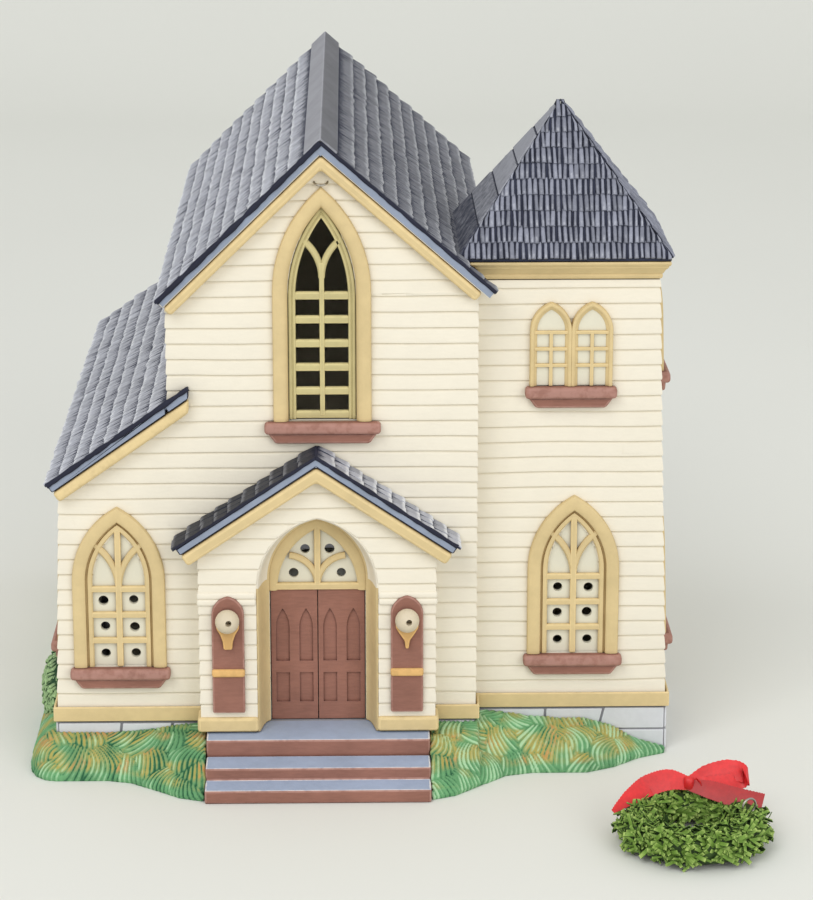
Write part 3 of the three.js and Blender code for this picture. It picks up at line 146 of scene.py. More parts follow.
class ChurchSizes(bpy.types.PropertyGroup):
    board_pitch: size("Board pitch", "Height of one clapboard", 4.9)
    board_butt: size("Board butt", "How far a board's lower edge stands out", 0.3)
    board_groove: size("Board groove", "How deep the line under a board is", 0.55)
    course_pitch: size("Course pitch", "Distance between slate courses down the nave roof", 5.65)
    strip_width: size("Strip width", "Width of one narrow slate", 1.9)
    slate_height: size("Slate height", "How far a slate's lower edge stands up", 1.0)
    tower_strip: size("Tower strip", "Width of one slate on the tower roof", 1.7)
    porch_tile: size("Porch tile", "Side of one square slate on the porch roof", 5.2)
    bar_width: size("Glazing bar", "Width of the bars across the windows", 2.0)
    vent_radius: size("Air hole", "Radius of the holes through the panes", 1.5)
    grass_stroke: size("Grass stroke", "Width of one stroke in the grass", 1.15)
    grass_depth: size("Grass depth", "Depth of the strokes in the grass", 0.8)
    sprig_length: size("Sprig length", "Length of one chopped sprig of the wreath", 4.6)
    sprig_width: size("Sprig width", "Width of one chopped sprig", 1.25)
    sprig_count: IntProperty(name="Sprigs", description="Number of chopped sprigs on the wreath",
                             default=2600, min=1)


class ChurchPaints(bpy.types.PropertyGroup):
    siding: colour("Siding", "Cream of the walls", (232, 225, 208))
    # Buff painted shade in the board lines and the walls' corners
    siding_shading: colour("Siding wash", "Buff shadow in the board lines", (198, 187, 162))
    bisque: colour("Bisque", "Unpainted inside", (226, 221, 209))
    trim: colour("Trim", "Buff of frames and boards", (212, 190, 142))
    # Brown painted shade in the corners of the trim
    trim_shading: colour("Trim wash", "Brown in the corners of the trim", (150, 116, 62))
    gold: colour("Gold", "Brackets and bands of the lanterns", (204, 163, 104))
    lattice: colour("Lattice", "Khaki of the glazing bars", (196, 184, 134))
    # Painted shade on the glazing bars and in their corners
    lattice_shading: colour("Lattice wash", "Shadow on the glazing bars", (110, 96, 58))
    maroon: colour("Maroon", "Sills, doors and risers", (146, 102, 88))
    # Painted shade in the corners and sunk panels of the maroon
    maroon_shading: colour("Maroon wash", "Dark corners of the maroon", (88, 50, 44))
    # Pale edge colour of the maroon: brushed paint that also stands as a painted highlight
    maroon_edge: colour("Maroon edge", "Brushed edges of the maroon", (186, 144, 133))
    globe: colour("Globe", "Ivory of the lantern globes", (212, 199, 174))
    # The panes' white is toned down as painted shade for their seat behind the frames
    pane: colour("Pane", "White of the panes", (219, 215, 196))
    slate: colour("Slate", "Grey of the slates", (156, 158, 166))
    # Navy in the grooves between the slates and on the slab under them: painted shade
    slate_recess: colour("Slate recess", "Navy between the slates", (44, 48, 66))
    # Pale tips of the slates: dry-brushed paint that also stands as a painted highlight
    slate_edge: colour("Slate edge", "Brushed edges of the slates", (226, 228, 232))
    slate_tower: colour("Tower slate", "Slates of the tower roof", (132, 135, 148))
    slate_dark: colour("Dark slate", "Slates of the porch's left slope", (63, 64, 69))
    verge: colour("Verge", "Steel blue of the roofs' front edges", (142, 152, 170))
    verge_line: colour("Verge line", "Navy line along the roofs' front edges", (34, 36, 52))
    ridge: colour("Ridge", "Smooth strips along the ridges", (150, 151, 158))
    stone: colour("Stone", "Pale stones of the foundation", (206, 208, 212))
    stone_joint: colour("Stone joint", "Grey between the stones", (140, 140, 146))
    # Pale line on the treads' edges: pale paint together with a painted highlight
    tread_edge: colour("Tread edge", "Pale line along the treads", (226, 222, 220))
    tread: colour("Tread", "Blue-grey of the landing and treads", (160, 174, 198))
    grass: colour("Grass", "Turquoise green of the banks", (102, 158, 108))
    # Dark green painted as shade in the grooves between the strokes
    grass_deep: colour("Grass recess", "Dark green between the strokes", (34, 92, 60))
    # Pale green painted on the crests as highlight
    grass_light: colour("Grass light", "Pale crests of the strokes", (180, 220, 176))
    ochre: colour("Ochre", "Ochre brushed into the grass", (184, 162, 80))
    orange: colour("Orange", "Orange brushed into the grass", (208, 144, 78))
    bush: colour("Bush", "Grey-green of the bush", (142, 170, 122))
    # Dark green painted as shade inside the bush and between its leaves
    bush_deep: colour("Bush recess", "Dark green inside the bush", (32, 66, 40))
    wire: colour("Wire", "Bare wire", (176, 172, 164))
    sprig: colour("Sprig", "Green of the wreath", (108, 142, 56))
    # Yellow-green painted on the sprigs' ridges towards the tips, as highlight
    sprig_light: colour("Sprig light", "Yellow-green of some sprigs", (190, 210, 122))
    # Dark green painted as shade inside the wreath and along the sprigs' sides
    sprig_deep: colour("Sprig dark", "Dark green inside the wreath", (44, 66, 26))
    ribbon: colour("Ribbon", "Red of the ribbon", (216, 40, 42))
    # Deeper red painted as shade in the ribbon's folds and creases
    ribbon_shading: colour("Ribbon shade", "Deeper red in the ribbon's weave", (176, 20, 30))
    cup: colour("Cup", "Pressed metal of the tealight", (200, 202, 204))
    wax: colour("Wax", "Candle wax", (243, 239, 226))
    wick: colour("Wick", "Cotton wick", (230, 222, 202))
    floor: colour("Floor", "Table the church stands on", (226, 227, 221))


# Mesh helpers

def only(piece):
    bpy.ops.object.select_all(action="DESELECT")
    piece.select_set(True)
    bpy.context.view_layer.objects.active = piece


def added(name, primitive, **settings):
    """A new primitive, with nothing else selected."""
    bpy.ops.object.select_all(action="DESELECT")
    primitive(**settings)
    piece = bpy.context.object
    piece.name = name
    return piece


def shape(piece):
    """Enters edit mode with nothing selected and gives the mesh to pick from."""
    only(piece)
    bpy.ops.object.mode_set(mode="EDIT")
    bpy.ops.mesh.select_mode(type="FACE")
    bpy.ops.mesh.select_all(action="DESELECT")
    return bmesh.from_edit_mesh(piece.data)


def shaped():
    bpy.ops.object.mode_set(mode="OBJECT")


def pick(piece, kind, test):
    """Selects the vertices, edges or faces that pass the test, and nothing else."""
    bpy.ops.mesh.select_mode(type=kind)
    bpy.ops.mesh.select_all(action="DESELECT")
    mesh = bmesh.from_edit_mesh(piece.data)
    for item in {"VERT": mesh.verts, "EDGE": mesh.edges, "FACE": mesh.faces}[kind]:
        if test(item):
            item.select_set(True)
    mesh.select_flush_mode()
    bmesh.update_edit_mesh(piece.data)


def pulled(move):
    bpy.ops.mesh.extrude_region_move(TRANSFORM_OT_translate={"value": move})


def cut(point, normal, **settings):
    """Cuts the whole mesh in edit mode along a plane."""
    bpy.ops.mesh.select_all(action="SELECT")
    bpy.ops.mesh.bisect(plane_co=point, plane_no=normal, threshold=CUT_SLACK, **settings)


def faced_out():
    bpy.ops.mesh.select_all(action="SELECT")
    bpy.ops.mesh.normals_make_consistent(inside=False)


def modified(piece, kind, **settings):
    """Adds a modifier and applies it."""
    only(piece)
    modifier = piece.modifiers.new(kind.lower(), kind)
    for name, value in settings.items():
        setattr(modifier, name, value)
    bpy.ops.object.modifier_apply(modifier=modifier.name)
    return piece


def placed(piece, matrix=None):
    """Puts the place of a piece into its mesh."""
    only(piece)
    bpy.ops.object.transform_apply(location=True, rotation=True, scale=True)
    if matrix is not None:
        piece.data.transform(matrix)
        if matrix.is_negative:
            piece.data.flip_normals()
    return piece


def shifted(x, y, z=0):
    return Matrix.Translation((x, y, z))


def merged(pieces, name):
    """Joins pieces into one object."""
    bpy.ops.object.select_all(action="DESELECT")
    for piece in pieces:
        piece.select_set(True)
    bpy.context.view_layer.objects.active = pieces[0]
    if len(pieces) > 1:
        bpy.ops.object.join()
    pieces[0].name = name
    pieces[0].data.name = name
    return pieces[0]


def cut_away(piece, cutters):
    """Takes the cutters' shapes out of a piece."""
    cutter = merged(cutters, "cutter")
    modified(piece, "BOOLEAN", operation="DIFFERENCE", object=cutter, solver="EXACT")
    bpy.data.objects.remove(cutter)


def cast_copy(node, name):
    """A CAD node's mesh as a piece of its own, with its corners merged and its flat faces whole."""
    piece = bpy.data.objects.new(name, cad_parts[node].data.copy())
    bpy.context.scene.collection.objects.link(piece)
    piece.data.materials.clear()
    for layer in list(piece.data.attributes):
        if layer.name == "custom_normal":
            piece.data.attributes.remove(layer)
    shape(piece)
    bpy.ops.mesh.select_all(action="SELECT")
    bpy.ops.mesh.remove_doubles(threshold=DOUBLE_SLACK)
    bpy.ops.mesh.normals_make_consistent(inside=False)
    bpy.ops.mesh.dissolve_limited(angle_limit=math.radians(0.6))
    shaped()
    return piece


def ring_of(name, fill, points):
    """A ring of corners in edit mode, filled or not."""
    piece = added(name, bpy.ops.mesh.primitive_circle_add, vertices=len(points), radius=MM, fill_type=fill)
    mesh = shape(piece)
    mesh.verts.ensure_lookup_table()
    for vertex, point in zip(mesh.verts, points):
        vertex.co = point
    bmesh.update_edit_mesh(piece.data)
    return piece


def outlined(name, points, plane, start, end):
    """An outline of (across, up) points, pulled from start to end along the plane's own direction.
    The plane is "front" for x and z pulled along y, or "plan" for x and y pulled along z."""
    piece = ring_of(name, "NGON", [(across, start, up) if plane == "front" else (across, up, start)
                                   for across, up in points])
    bpy.ops.mesh.select_all(action="SELECT")
    pulled((0, end - start, 0) if plane == "front" else (0, 0, end - start))
    faced_out()
    shaped()
    return piece


def bevelled(piece, width, segments=2, angle=25):
    """Rounds the sharp edges and marks the new faces as brushed edges."""
    shape(piece)
    limit = math.radians(angle)
    pick(piece, "EDGE", lambda edge: len(edge.link_faces) == 2 and edge.calc_face_angle(0) >= limit)
    bpy.ops.mesh.bevel(offset=width, segments=segments, affect="EDGES", clamp_overlap=True)
    mesh = bmesh.from_edit_mesh(piece.data)
    layer = mesh.faces.layers.float.get("edge") or mesh.faces.layers.float.new("edge")
    for face in mesh.faces:
        longest = max(edge.calc_length() for edge in face.edges)
        if face.select and face.calc_area() < longest * width * 1.4:
            face[layer] = 1.0
    bmesh.update_edit_mesh(piece.data)
    shaped()
    return piece


def rounded_box(name, corner, other, width, segments=2):
    """A block between two corners with rounded edges."""
    corner, other = Vector(corner), Vector(other)
    piece = added(name, bpy.ops.mesh.primitive_cube_add, size=1, location=(corner + other) / 2)
    piece.scale = other - corner
    return bevelled(placed(piece), width, segments)


def smooth(piece, angle=38):
    only(piece)
    bpy.ops.object.shade_smooth_by_angle(angle=math.radians(angle))
    return modified(piece, "WEIGHTED_NORMAL", keep_sharp=True, weight=60)


def attribute(piece, name, values):
    layer = piece.data.attributes.get(name) or piece.data.attributes.new(name, "FLOAT", "POINT")
    layer.data.foreach_set("value", np.asarray(values, np.float32))


def table_of(items, kind):
    table = np.empty(len(items) * 3, np.float32)
    items.foreach_get(kind, table)
    return table.reshape(-1, 3).astype(float)


def points_of(piece):
    return table_of(piece.data.vertices, "co")


def normals_of(piece):
    return table_of(piece.data.vertex_normals, "vector")


def move_points(piece, table):
    piece.data.vertices.foreach_set("co", np.asarray(table, np.float32).ravel())
    piece.data.update()


def copied(master, places, name, tints=None):
    """The master's mesh once at each place, as one piece. It keeps the master's tone, and gives
    each copy a tint of its own."""
    points = points_of(master)
    count = len(points)
    faces = [tuple(face.vertices) for face in master.data.polygons]
    tone = np.zeros(count, np.float32)
    master.data.attributes["tone"].data.foreach_get("value", tone)
    table = np.empty((len(places), count, 3))
    every_face = []
    for i, place in enumerate(places):
        grid = np.array(place)
        table[i] = points @ grid[:3, :3].T + grid[:3, 3]
        every_face += [tuple(v + i * count for v in face) for face in faces]
    mesh = bpy.data.meshes.new(name)
    mesh.from_pydata(table.reshape(-1, 3).tolist(), [], every_face)
    piece = bpy.data.objects.new(name, mesh)
    bpy.context.scene.collection.objects.link(piece)
    attribute(piece, "tone", np.tile(tone, len(places)))
    attribute(piece, "tint", np.repeat(tints or [random.random() for _ in places], count))
    bpy.data.objects.remove(master)
    mesh.update()
    return piece


def wander(x, y, scale, seed=0.0):
    """Smooth noise from -1 to 1 at a place, with features of about the scale."""
    return noise.noise(Vector((x / scale, y / scale, seed)))


def ready(piece, slot, material, *nodes, body="house"):
    """Gives a finished piece its finish and the body that it rides on, and hides the CAD nodes that it stands
    for.
    """
    piece.data.materials.clear()
    piece.data.materials.append(finish(material))
    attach(piece, body)
    if nodes:
        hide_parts(*nodes)
    return piece


def second_finish(piece, material, test):
    """Gives the faces that pass the test another finish."""
    piece.data.materials.append(finish(material))
    index = len(piece.data.materials) - 1
    for face in piece.data.polygons:
        if test(face):
            face.material_index = index


def softened(node, slot, material, width, segments=2):
    """A CAD form with its corners rounded as the paint and glaze leave them."""
    piece = bevelled(cast_copy(node, node + "_cast"), width, segments)
    return ready(smooth(piece), slot, material, node)


# Finishes

class Finish:
    """A material in the making: its shader and the nodes that lead to it."""

    def __init__(self, name, roughness, specular):
        self.material = bpy.data.materials.new(name)
        self.material.use_nodes = True
        self.tree = self.material.node_tree
        self.tree.nodes.clear()
        output = self.tree.nodes.new("ShaderNodeOutputMaterial")
        self.shader = self.tree.nodes.new("ShaderNodeBsdfPrincipled")
        self.tree.links.new(self.shader.outputs["BSDF"], output.inputs["Surface"])
        self.set("Roughness", roughness)
        self.set("Specular IOR Level", specular)
        self.place = self.stretched((1, 1, 1))

    def set(self, name, value, node=None):
        """Sets a socket of the shader or another node to a number, a colour or a node's output."""
        socket = (node or self.shader).inputs[name]
        if isinstance(value, bpy.types.NodeSocket):
            self.tree.links.new(value, socket)
        elif hasattr(value, "__len__"):
            socket.default_value = (*value, 1.0) if socket.type == "RGBA" else value
        else:
            socket.default_value = value

    def node(self, kind, output, inputs=None, **settings):
        """The output of a new node with the given settings and inputs."""
        node = self.tree.nodes.new("ShaderNode" + kind)
        for name, value in settings.items():
            setattr(node, name, value)
        for name, value in (inputs or {}).items():
            self.set(name, value, node)
        return node.outputs[output]

    def stretched(self, stretch):
        """Object coordinates, squeezed or stretched for a grain or brush direction."""
        return self.node("Mapping", "Vector", {"Vector": self.node("TexCoord", "Object"), "Scale": stretch})

    def noise(self, scale, detail=3.0, rough=0.6, place=None):
        return self.node("TexNoise", "Fac", {"Vector": place or self.place, "Scale": scale,
                                             "Detail": detail, "Roughness": rough})

    def ramp(self, value, start, end, low_end=0.0, high_end=1.0):
        """Maps a value between start and end to low_end and high_end, with soft ends."""
        return self.node("MapRange", "Result", {"Value": value, "From Min": start, "From Max": end,
                                                "To Min": low_end, "To Max": high_end},
                         interpolation_type="SMOOTHSTEP")

    def maths(self, operation, first, second):
        return self.node("Math", "Value", {0: first, 1: second}, operation=operation)

    def times(self, first, second):
        return self.maths("MULTIPLY", first, second)

    def plus(self, first, second):
        return self.maths("ADD", first, second)

    def mixed(self, amount, first, second):
        return self.node("Mix", "Result", {"Factor": amount, "A": first, "B": second}, data_type="RGBA")

    def read(self, name):
        return self.node("Attribute", "Fac", attribute_type="GEOMETRY", attribute_name=name)

    def roughened(self, value, noisy, amount):
        """A value with noise round 0.5 added."""
        return self.plus(value, self.times(self.maths("SUBTRACT", noisy, 0.5), amount))

    def nook(self, reach):
        """How far a point lies in a corner or recess, from 0 in the open to 1 deep inside."""
        open_share = self.node("AmbientOcclusion", "AO", {"Distance": reach}, samples=6, only_local=False)
        return self.maths("SUBTRACT", 1.0, open_share)

    def done(self, base, height=0.05, scale=900, coarse=0.12):
        """Gives the shader its colour, the fine tooth of fired bisque and slight hand-smoothed waves."""
        self.set("Base Color", base)
        fine, wave = self.noise(scale, 4), self.noise(90, 2, 0.5)
        total = self.plus(self.times(fine, height), self.times(wave, coarse))
        self.set("Normal", self.node("Bump", "Normal", {"Strength": 1.0, "Distance": MM, "Height": total}))
        return self.material


def varied(colour_value, factor):
    return tuple(min(1.0, c * factor) for c in colour_value)


def painted(name, body, shading, edge=None, roughness=0.78, shade_reach=1.6, shade_share=0.8,
            stroke=(1, 1, 1), spread=0.1, edge_share=0.6, specular=0.3):
    """Matt hand paint on bisque: brushed variation, painted shade in the recesses and along the board lines,
    and pale brushed edges that also stand as painted highlights.
    """
    look = Finish(name, roughness, specular)
    broad = look.ramp(look.noise(55), 0.3, 0.7)
    streak = look.ramp(look.noise(260, 3, 0.65, look.stretched(stroke)), 0.25, 0.75)
    blend = look.plus(look.times(broad, 0.55), look.times(streak, 0.45))
    base = look.mixed(blend, varied(body, 1 - spread), varied(body, 1 + spread))
    # Bevelled edges take the paler edge colour: dry-brushed paint that also stands as a painted highlight
    if edge is not None:
        edge_highlight = look.times(look.read("edge"), look.ramp(look.noise(420, 2), 0.3, 0.6, 0.35, 1.0))
        base = look.mixed(look.times(edge_highlight, edge_share), base, edge)
    # Painted shade: the colour darkens towards the shade colour in corners and recesses by ambient occlusion,
    # and along the board lines by the boards' painted shade attribute
    deep = look.times(look.ramp(look.nook(shade_reach * MM), 0.12, 0.8), shade_share)
    deep = look.maths("MAXIMUM", deep, look.times(look.read("shading"), 0.62))
    deep = look.times(deep, look.ramp(look.noise(120, 2, 0.55), 0.2, 0.7, 0.6, 1.0))
    return look.done(look.mixed(deep, base, shading))


def slated(name, body, recess, edge, roughness=0.8, light=1.0, contrast=1.0, tips=0.9):
    """Painted slates by the tone attribute: navy as painted shade in the grooves, grey on top and pale
    dry-brushed tips that also stand as painted highlights.
    """
    look = Finish(name, roughness, 0.3)
    mottled = look.noise(330, 4, 0.7)
    blend = look.plus(look.times(look.read("tint"), 0.5), look.times(mottled, 0.5))
    # The light factor scales a whole slope's slates, painting in the light and shade of that slope
    top = look.mixed(blend, varied(body, (1 - 0.28 * contrast) * light),
                     varied(body, (1 + 0.3 * contrast) * light))
    broad = look.ramp(look.noise(40), 0.3, 0.7)
    top = look.mixed(look.times(broad, 0.3), top, varied(body, 0.8 * light))
    tone = look.roughened(look.read("tone"), mottled, 0.5)
    base = look.mixed(look.ramp(tone, 0.08, 0.42), recess, top)
    base = look.mixed(look.ramp(tone, 0.7, 1.0, 0.0, tips), base, edge)
    return look.done(base, 0.06, 800, 0.08)


def grassy(name, body, recess, light, ochre, orange):
    """Sculpted grass: painted shade in the recesses, turquoise body, pale crests painted as highlights, with
    ochre and orange brushed on.
    """
    look = Finish(name, 0.8, 0.35)
    body = look.mixed(look.ramp(look.noise(80), 0.3, 0.7), varied(body, 0.86), varied(body, 1.12))
    tone = look.roughened(look.read("tone"), look.noise(500), 0.35)
    base = look.mixed(look.ramp(tone, 0.1, 0.5), recess, body)
    brushed = look.mixed(look.ramp(look.noise(150, 2), 0.52, 0.66), ochre, orange)
    amount = look.times(look.read("warm"), look.ramp(tone, 0.25, 0.6))
    base = look.mixed(look.times(amount, 0.8), base, brushed)
    base = look.mixed(look.ramp(tone, 0.62, 1.0, 0.0, 0.75), base, light)
    return look.done(base, 0.05, 900, 0.05)


def metal(name, body, roughness):
    """Bare drawn or pressed metal with fine scratches."""
    look = Finish(name, roughness, 0.5)
    rubbed = look.noise(300, 4, 0.7, look.stretched((1, 1, 12)))
    look.set("Roughness", look.ramp(rubbed, 0.2, 0.8, roughness * 0.7, roughness * 1.4))
    look.set("Metallic", 1.0)
    return look.done(look.mixed(rubbed, varied(body, 0.75), varied(body, 1.15)), 0.02, 1500, 0.0)


def shades(body, *factors):
    """A colour with darker and lighter ones of it."""
    return (body, *(varied(body, factor) for factor in factors))


def recipes(p):
    """Each finish's maker, its colours and what differs from the maker's usual settings."""
    woven = {"roughness": 0.42, "spread": 0.2, "stroke": (3, 3, 3), "specular": 0.5}
    navy = varied(p.slate_recess, 0.7)
    return {
        "siding": (painted, (p.siding, p.siding_shading, p.siding),
                   {"shade_reach": 1.4, "shade_share": 0.34, "stroke": (1, 1, 5), "spread": 0.03,
                    "edge_share": 0.2}),
        "bisque": (painted, shades(p.bisque, 0.7), {"roughness": 0.85, "spread": 0.04}),
        "trim": (painted, (p.trim, p.trim_shading, varied(p.trim, 1.25)), {"spread": 0.08}),
        "gold": (painted, shades(p.gold, 0.5, 1.4), {}),
        "ribbon": (painted, (p.ribbon, p.ribbon_shading), woven),
        # The hanging tail is painted darker all over, as shade
        "ribbon_shade": (painted, (varied(p.ribbon, 0.62), varied(p.ribbon_shading, 0.6)), woven),
        "lattice": (painted, (p.lattice, p.lattice_shading, varied(p.lattice, 1.3)), {}),
        "maroon": (painted, (p.maroon, p.maroon_shading, p.maroon_edge),
                   {"stroke": (1, 1, 6), "spread": 0.18, "shade_reach": 1.5, "shade_share": 0.95}),
        "globe": (painted, shades(p.globe, 0.4), {"roughness": 0.55, "spread": 0.04, "shade_share": 0.5}),
        "pane": (painted, shades(p.pane, 0.45), {"roughness": 0.6, "spread": 0.02, "shade_share": 0.5}),
        "verge": (painted, shades(p.verge, 0.5, 1.3), {}),
        "verge_line": (painted, (*shades(p.verge_line, 0.4), varied(p.slate, 1.1)),
                       {"spread": 0.2, "edge_share": 0.25}),
        # The slab under the slates is painted navy as the shade seen between them
        "slate_core": (painted, shades(p.slate_recess, 0.6), {}),
        "ridge": (painted, shades(p.ridge, 0.4, 1.4), {"spread": 0.12}),
        # A darker copy of the ridge paint for the strip's right face, as painted shade
        "ridge_dark": (painted, shades(p.ridge, 0.5, 0.3, 1.1)[1:], {"spread": 0.15}),
        # The slates are painted lighter (light 1.22) on the lit slopes, and slate_shaded darker for the right
        # slope, as painted light and shade
        "slate": (slated, (p.slate, p.slate_recess, p.slate_edge), {"contrast": 1.4, "light": 1.22}),
        "slate_shaded": (slated, (varied(p.slate, 0.56), p.slate_recess, varied(p.slate_edge, 0.62)),
                         {"contrast": 1.3}),
        "slate_tower": (slated, (p.slate_tower, navy, p.slate_edge), {"contrast": 1.9, "tips": 0.55}),
        "slate_dark": (slated, (p.slate_dark, navy, varied(p.slate, 0.56)), {}),
        "stone": (painted, (p.stone, p.stone_joint, varied(p.stone, 1.15)),
                  {"spread": 0.06, "shade_share": 0.75}),
        "joint": (painted, shades(p.stone_joint, 0.5), {}),
        "tread": (painted, (*shades(p.tread, 0.45), p.tread_edge), {"shade_reach": 1.0, "edge_share": 0.95}),
        "grass": (grassy, (p.grass, p.grass_deep, p.grass_light, p.ochre, p.orange), {}),
        # The bush's leaves have dark sides as painted shade and pale ridges as painted highlight
        "bush": (slated, (p.bush, p.bush_deep, varied(p.bush, 1.5)), {}),
        "wire": (metal, (p.wire, 0.35), {}),
        "sprig": (slated, (p.sprig, p.sprig_deep, p.sprig_light), {"roughness": 0.65}),
        "cup": (metal, (p.cup, 0.28), {}),
        "wax": (painted, shades(p.wax, 0.8), {"roughness": 0.4, "spread": 0.03, "specular": 0.5}),
        "wick": (painted, shades(p.wick, 0.5), {"roughness": 0.9}),
    }


FINISHES = {}


def finish(name):
    """One finish by name, made once."""
    if name not in FINISHES:
        maker, colours, settings = recipes(bpy.context.scene.church_paints)[name]
        FINISHES[name] = maker(name, *colours, **settings)
    return FINISHES[name]


# Walls

FACING = 0.98
WALL_SLACK = 0.2 * MM


def on_wall(turn, x, y, lean=0.0):
    """The place of a wall, for a piece that is drawn on a wall at y = 0 that faces the front."""
    slant = Matrix(((1, 0, lean, -lean * STONE_TOP), (0, 1, 0, 0), (0, 0, 1, 0), (0, 0, 0, 1)))
    return slant @ shifted(x, y) @ Matrix.Rotation(turn, 4, "Z")


def boarded(node, walls):
    """A shell whose outer walls carry clapboards. Walls are (direction, place) pairs: the outward
    direction of the wall and how far along it the wall lies."""
    sizes = bpy.context.scene.church_sizes
    pitch, butt, groove = sizes.board_pitch, sizes.board_butt, sizes.board_groove
    first_line, column = 0.9, 7 * MM
    # How far each edge of a board lies below its line and stands out, and how much painted shade it takes
    # there: the groove under each board is painted dark as the board's shadow
    profile = ((-0.7 * MM, butt, 0.0), (0, butt * 0.7, 0.0), (0.36 * MM, butt - groove, 1.0),
               (1.0 * MM, butt * 0.2, 0.0))
    piece = cast_copy(node, node + "_boards")
    table = points_of(piece)
    inner = np.abs(np.abs(table[:, 0]) - NAVE_SIDE - SEAM) < 0.05 * MM
    table[inner, 0] -= np.sign(table[inner, 0]) * 0.5 * MM
    move_points(piece, table)
    corner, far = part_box(node)
    rows = int((far.z - BAND_TOP) / pitch) + 1
    levels = [BAND_TOP + pitch * (i + first_line) for i in range(rows)]
    normals = [Vector(direction).normalized() for direction, _ in walls]

    def walls_of(face):
        centre = face.calc_center_median()
        return [i for i, normal in enumerate(normals)
                if face.normal.dot(normal) > FACING and abs(centre.dot(normal) - walls[i][1]) < WALL_SLACK]
    shape(piece)
    cuts = [((0, 0, level - drop), (0, 0, 1)) for level in levels for drop, _, _ in profile]
    for axis in (0, 1):
        direction = Vector((axis == 0, axis == 1, 0))
        span = far[axis] - corner[axis]
        count = max(1, int(span / column))
        cuts += [(direction * (corner[axis] + span * i / count), direction) for i in range(1, count)]
    for point, normal in cuts:
        pick(piece, "FACE", walls_of)
        bpy.ops.mesh.bisect(plane_co=point, plane_no=normal, threshold=CUT_SLACK)
    mesh = bmesh.from_edit_mesh(piece.data)
    # Painted shade of the board lines: 1 in the groove under each board, where its shadow is painted
    layer = mesh.verts.layers.float.new("shading")
    moves = []
    for vertex in mesh.verts:
        facing = {i for face in vertex.link_faces for i in walls_of(face)}
        level = min(levels, key=lambda at: abs(vertex.co.z - at))
        edges = [(out, shading) for drop, out, shading in profile
                 if abs(level - vertex.co.z - drop) < 0.02 * MM]
        if not facing or not edges:
            continue
        out, shading = edges[0]
        along = vertex.co.x + vertex.co.y
        out += 0.07 * MM * wander(along, level, 12 * MM)
        rise = 0.42 * MM * wander(along, level, 26 * MM, 3.7)
        push = sum((normals[i] for i in facing), Vector()) * out
        moves.append((vertex, Vector((push.x, push.y, rise)), shading))
    for vertex, move, shading in moves:
        vertex.co += move
        vertex[layer] = shading
    bmesh.update_edit_mesh(piece.data)
    shaped()
    ready(smooth(piece, 20), "siding", "siding", node)
    second_finish(piece, "bisque", lambda face: not any(
        face.normal.dot(normal) > 0.5 and face.center.dot(normal) > place - 0.8 * MM
        for normal, (_, place) in zip(normals, walls)))


class CHURCH_OT_walls(bpy.types.Operator):
    """Clapboard walls of the nave, the aisle, the tower and the porch"""
    bl_idname = "church.walls"
    bl_label = "Walls"

    def execute(self, context):
        front, rear, left, right = (0, -1, 0), (0, 1, 0), (-1, 0, 0), (1, 0, 0)
        left_lean = Vector((-1, 0, WALL_LEAN)).normalized()
        right_lean = Vector((1, 0, WALL_LEAN)).normalized()
        porch, porch_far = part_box("porch_shell")
        boarded("nave_shell", [(front, -FRONT), (right, NAVE_SIDE), (left, NAVE_SIDE), (rear, REAR)])
        boarded("aisle_shell", [(front, -FRONT), (rear, AISLE_REAR),
                                (left_lean, Vector((AISLE_SIDE, 0, WALL_FOOT)).dot(left_lean))])
        boarded("tower_shell", [(front, -TOWER_FRONT), (rear, TOWER_REAR),
                                (right_lean, Vector((TOWER_SIDE, 0, WALL_FOOT)).dot(right_lean))])
        boarded("porch_shell", [(front, -PORCH_FRONT), (right, porch_far.x), (left, -porch.x)])
        return {"FINISHED"}


# Roofs

# How pale a slate is painted from head to butt: TIPPED makes the butt's tip palest, STREAKED pales the whole
# length; dry-brushed paint that also stands as painted highlight
TIPPED = (0.1, 0.5, 0.95, 1.0)
STREAKED = (0.3, 0.72, 0.8, 0.74)


def slate_master(name, width, length, height, flat=0.24, tones=TIPPED):
    """One narrow slate, lying along -y from its head to its butt, thicker at the butt."""
    piece = added(name, bpy.ops.mesh.primitive_grid_add, x_subdivisions=5, y_subdivisions=3, size=1)
    mesh = shape(piece)
    across = (-0.5, -0.5 + (0.5 - flat) * 0.35, -flat, flat, 0.5 - (0.5 - flat) * 0.35, 0.5)
    shoulder = (0.12, 0.6, 1.0, 1.0, 0.6, 0.12)
    along = (0.0, -0.55, -0.88, -1.0)
    lift = (0.1, 0.7, 1.0, 0.85)
    marks = {}
    for vertex in mesh.verts:
        i = round((vertex.co.x + 0.5) * 5)
        j = round((0.5 - vertex.co.y) * 3)
        vertex.co = (across[i] * width, along[j] * length, lift[j] * shoulder[i] * height)
        # Across a slate the sides stay dark as painted shade in the grooves, and the middle takes the pale
        # marks
        beside = 0.1 + 0.12 * j
        marks[vertex.index] = (0.0, beside, 1.0, 1.0, beside, 0.0)[i] * tones[j]
    bmesh.update_edit_mesh(piece.data)
    pick(piece, "EDGE", lambda edge: edge.is_boundary)
    pulled((0, 0, 0))
    mesh = bmesh.from_edit_mesh(piece.data)
    for vertex in mesh.verts:
        if vertex.select:
            vertex.co.z = -0.35 * height
    bmesh.update_edit_mesh(piece.data)
    bpy.ops.mesh.edge_face_add()
    faced_out()
    shaped()
    attribute(piece, "tone", [0.03 + 0.95 * marks.get(i, 0) for i in range(len(piece.data.vertices))])
    return piece


def turned_to(x_way, y_way, z_way):
    """A turn that takes the three axes to the three directions."""
    return Matrix((x_way, y_way, z_way)).transposed().to_4x4()


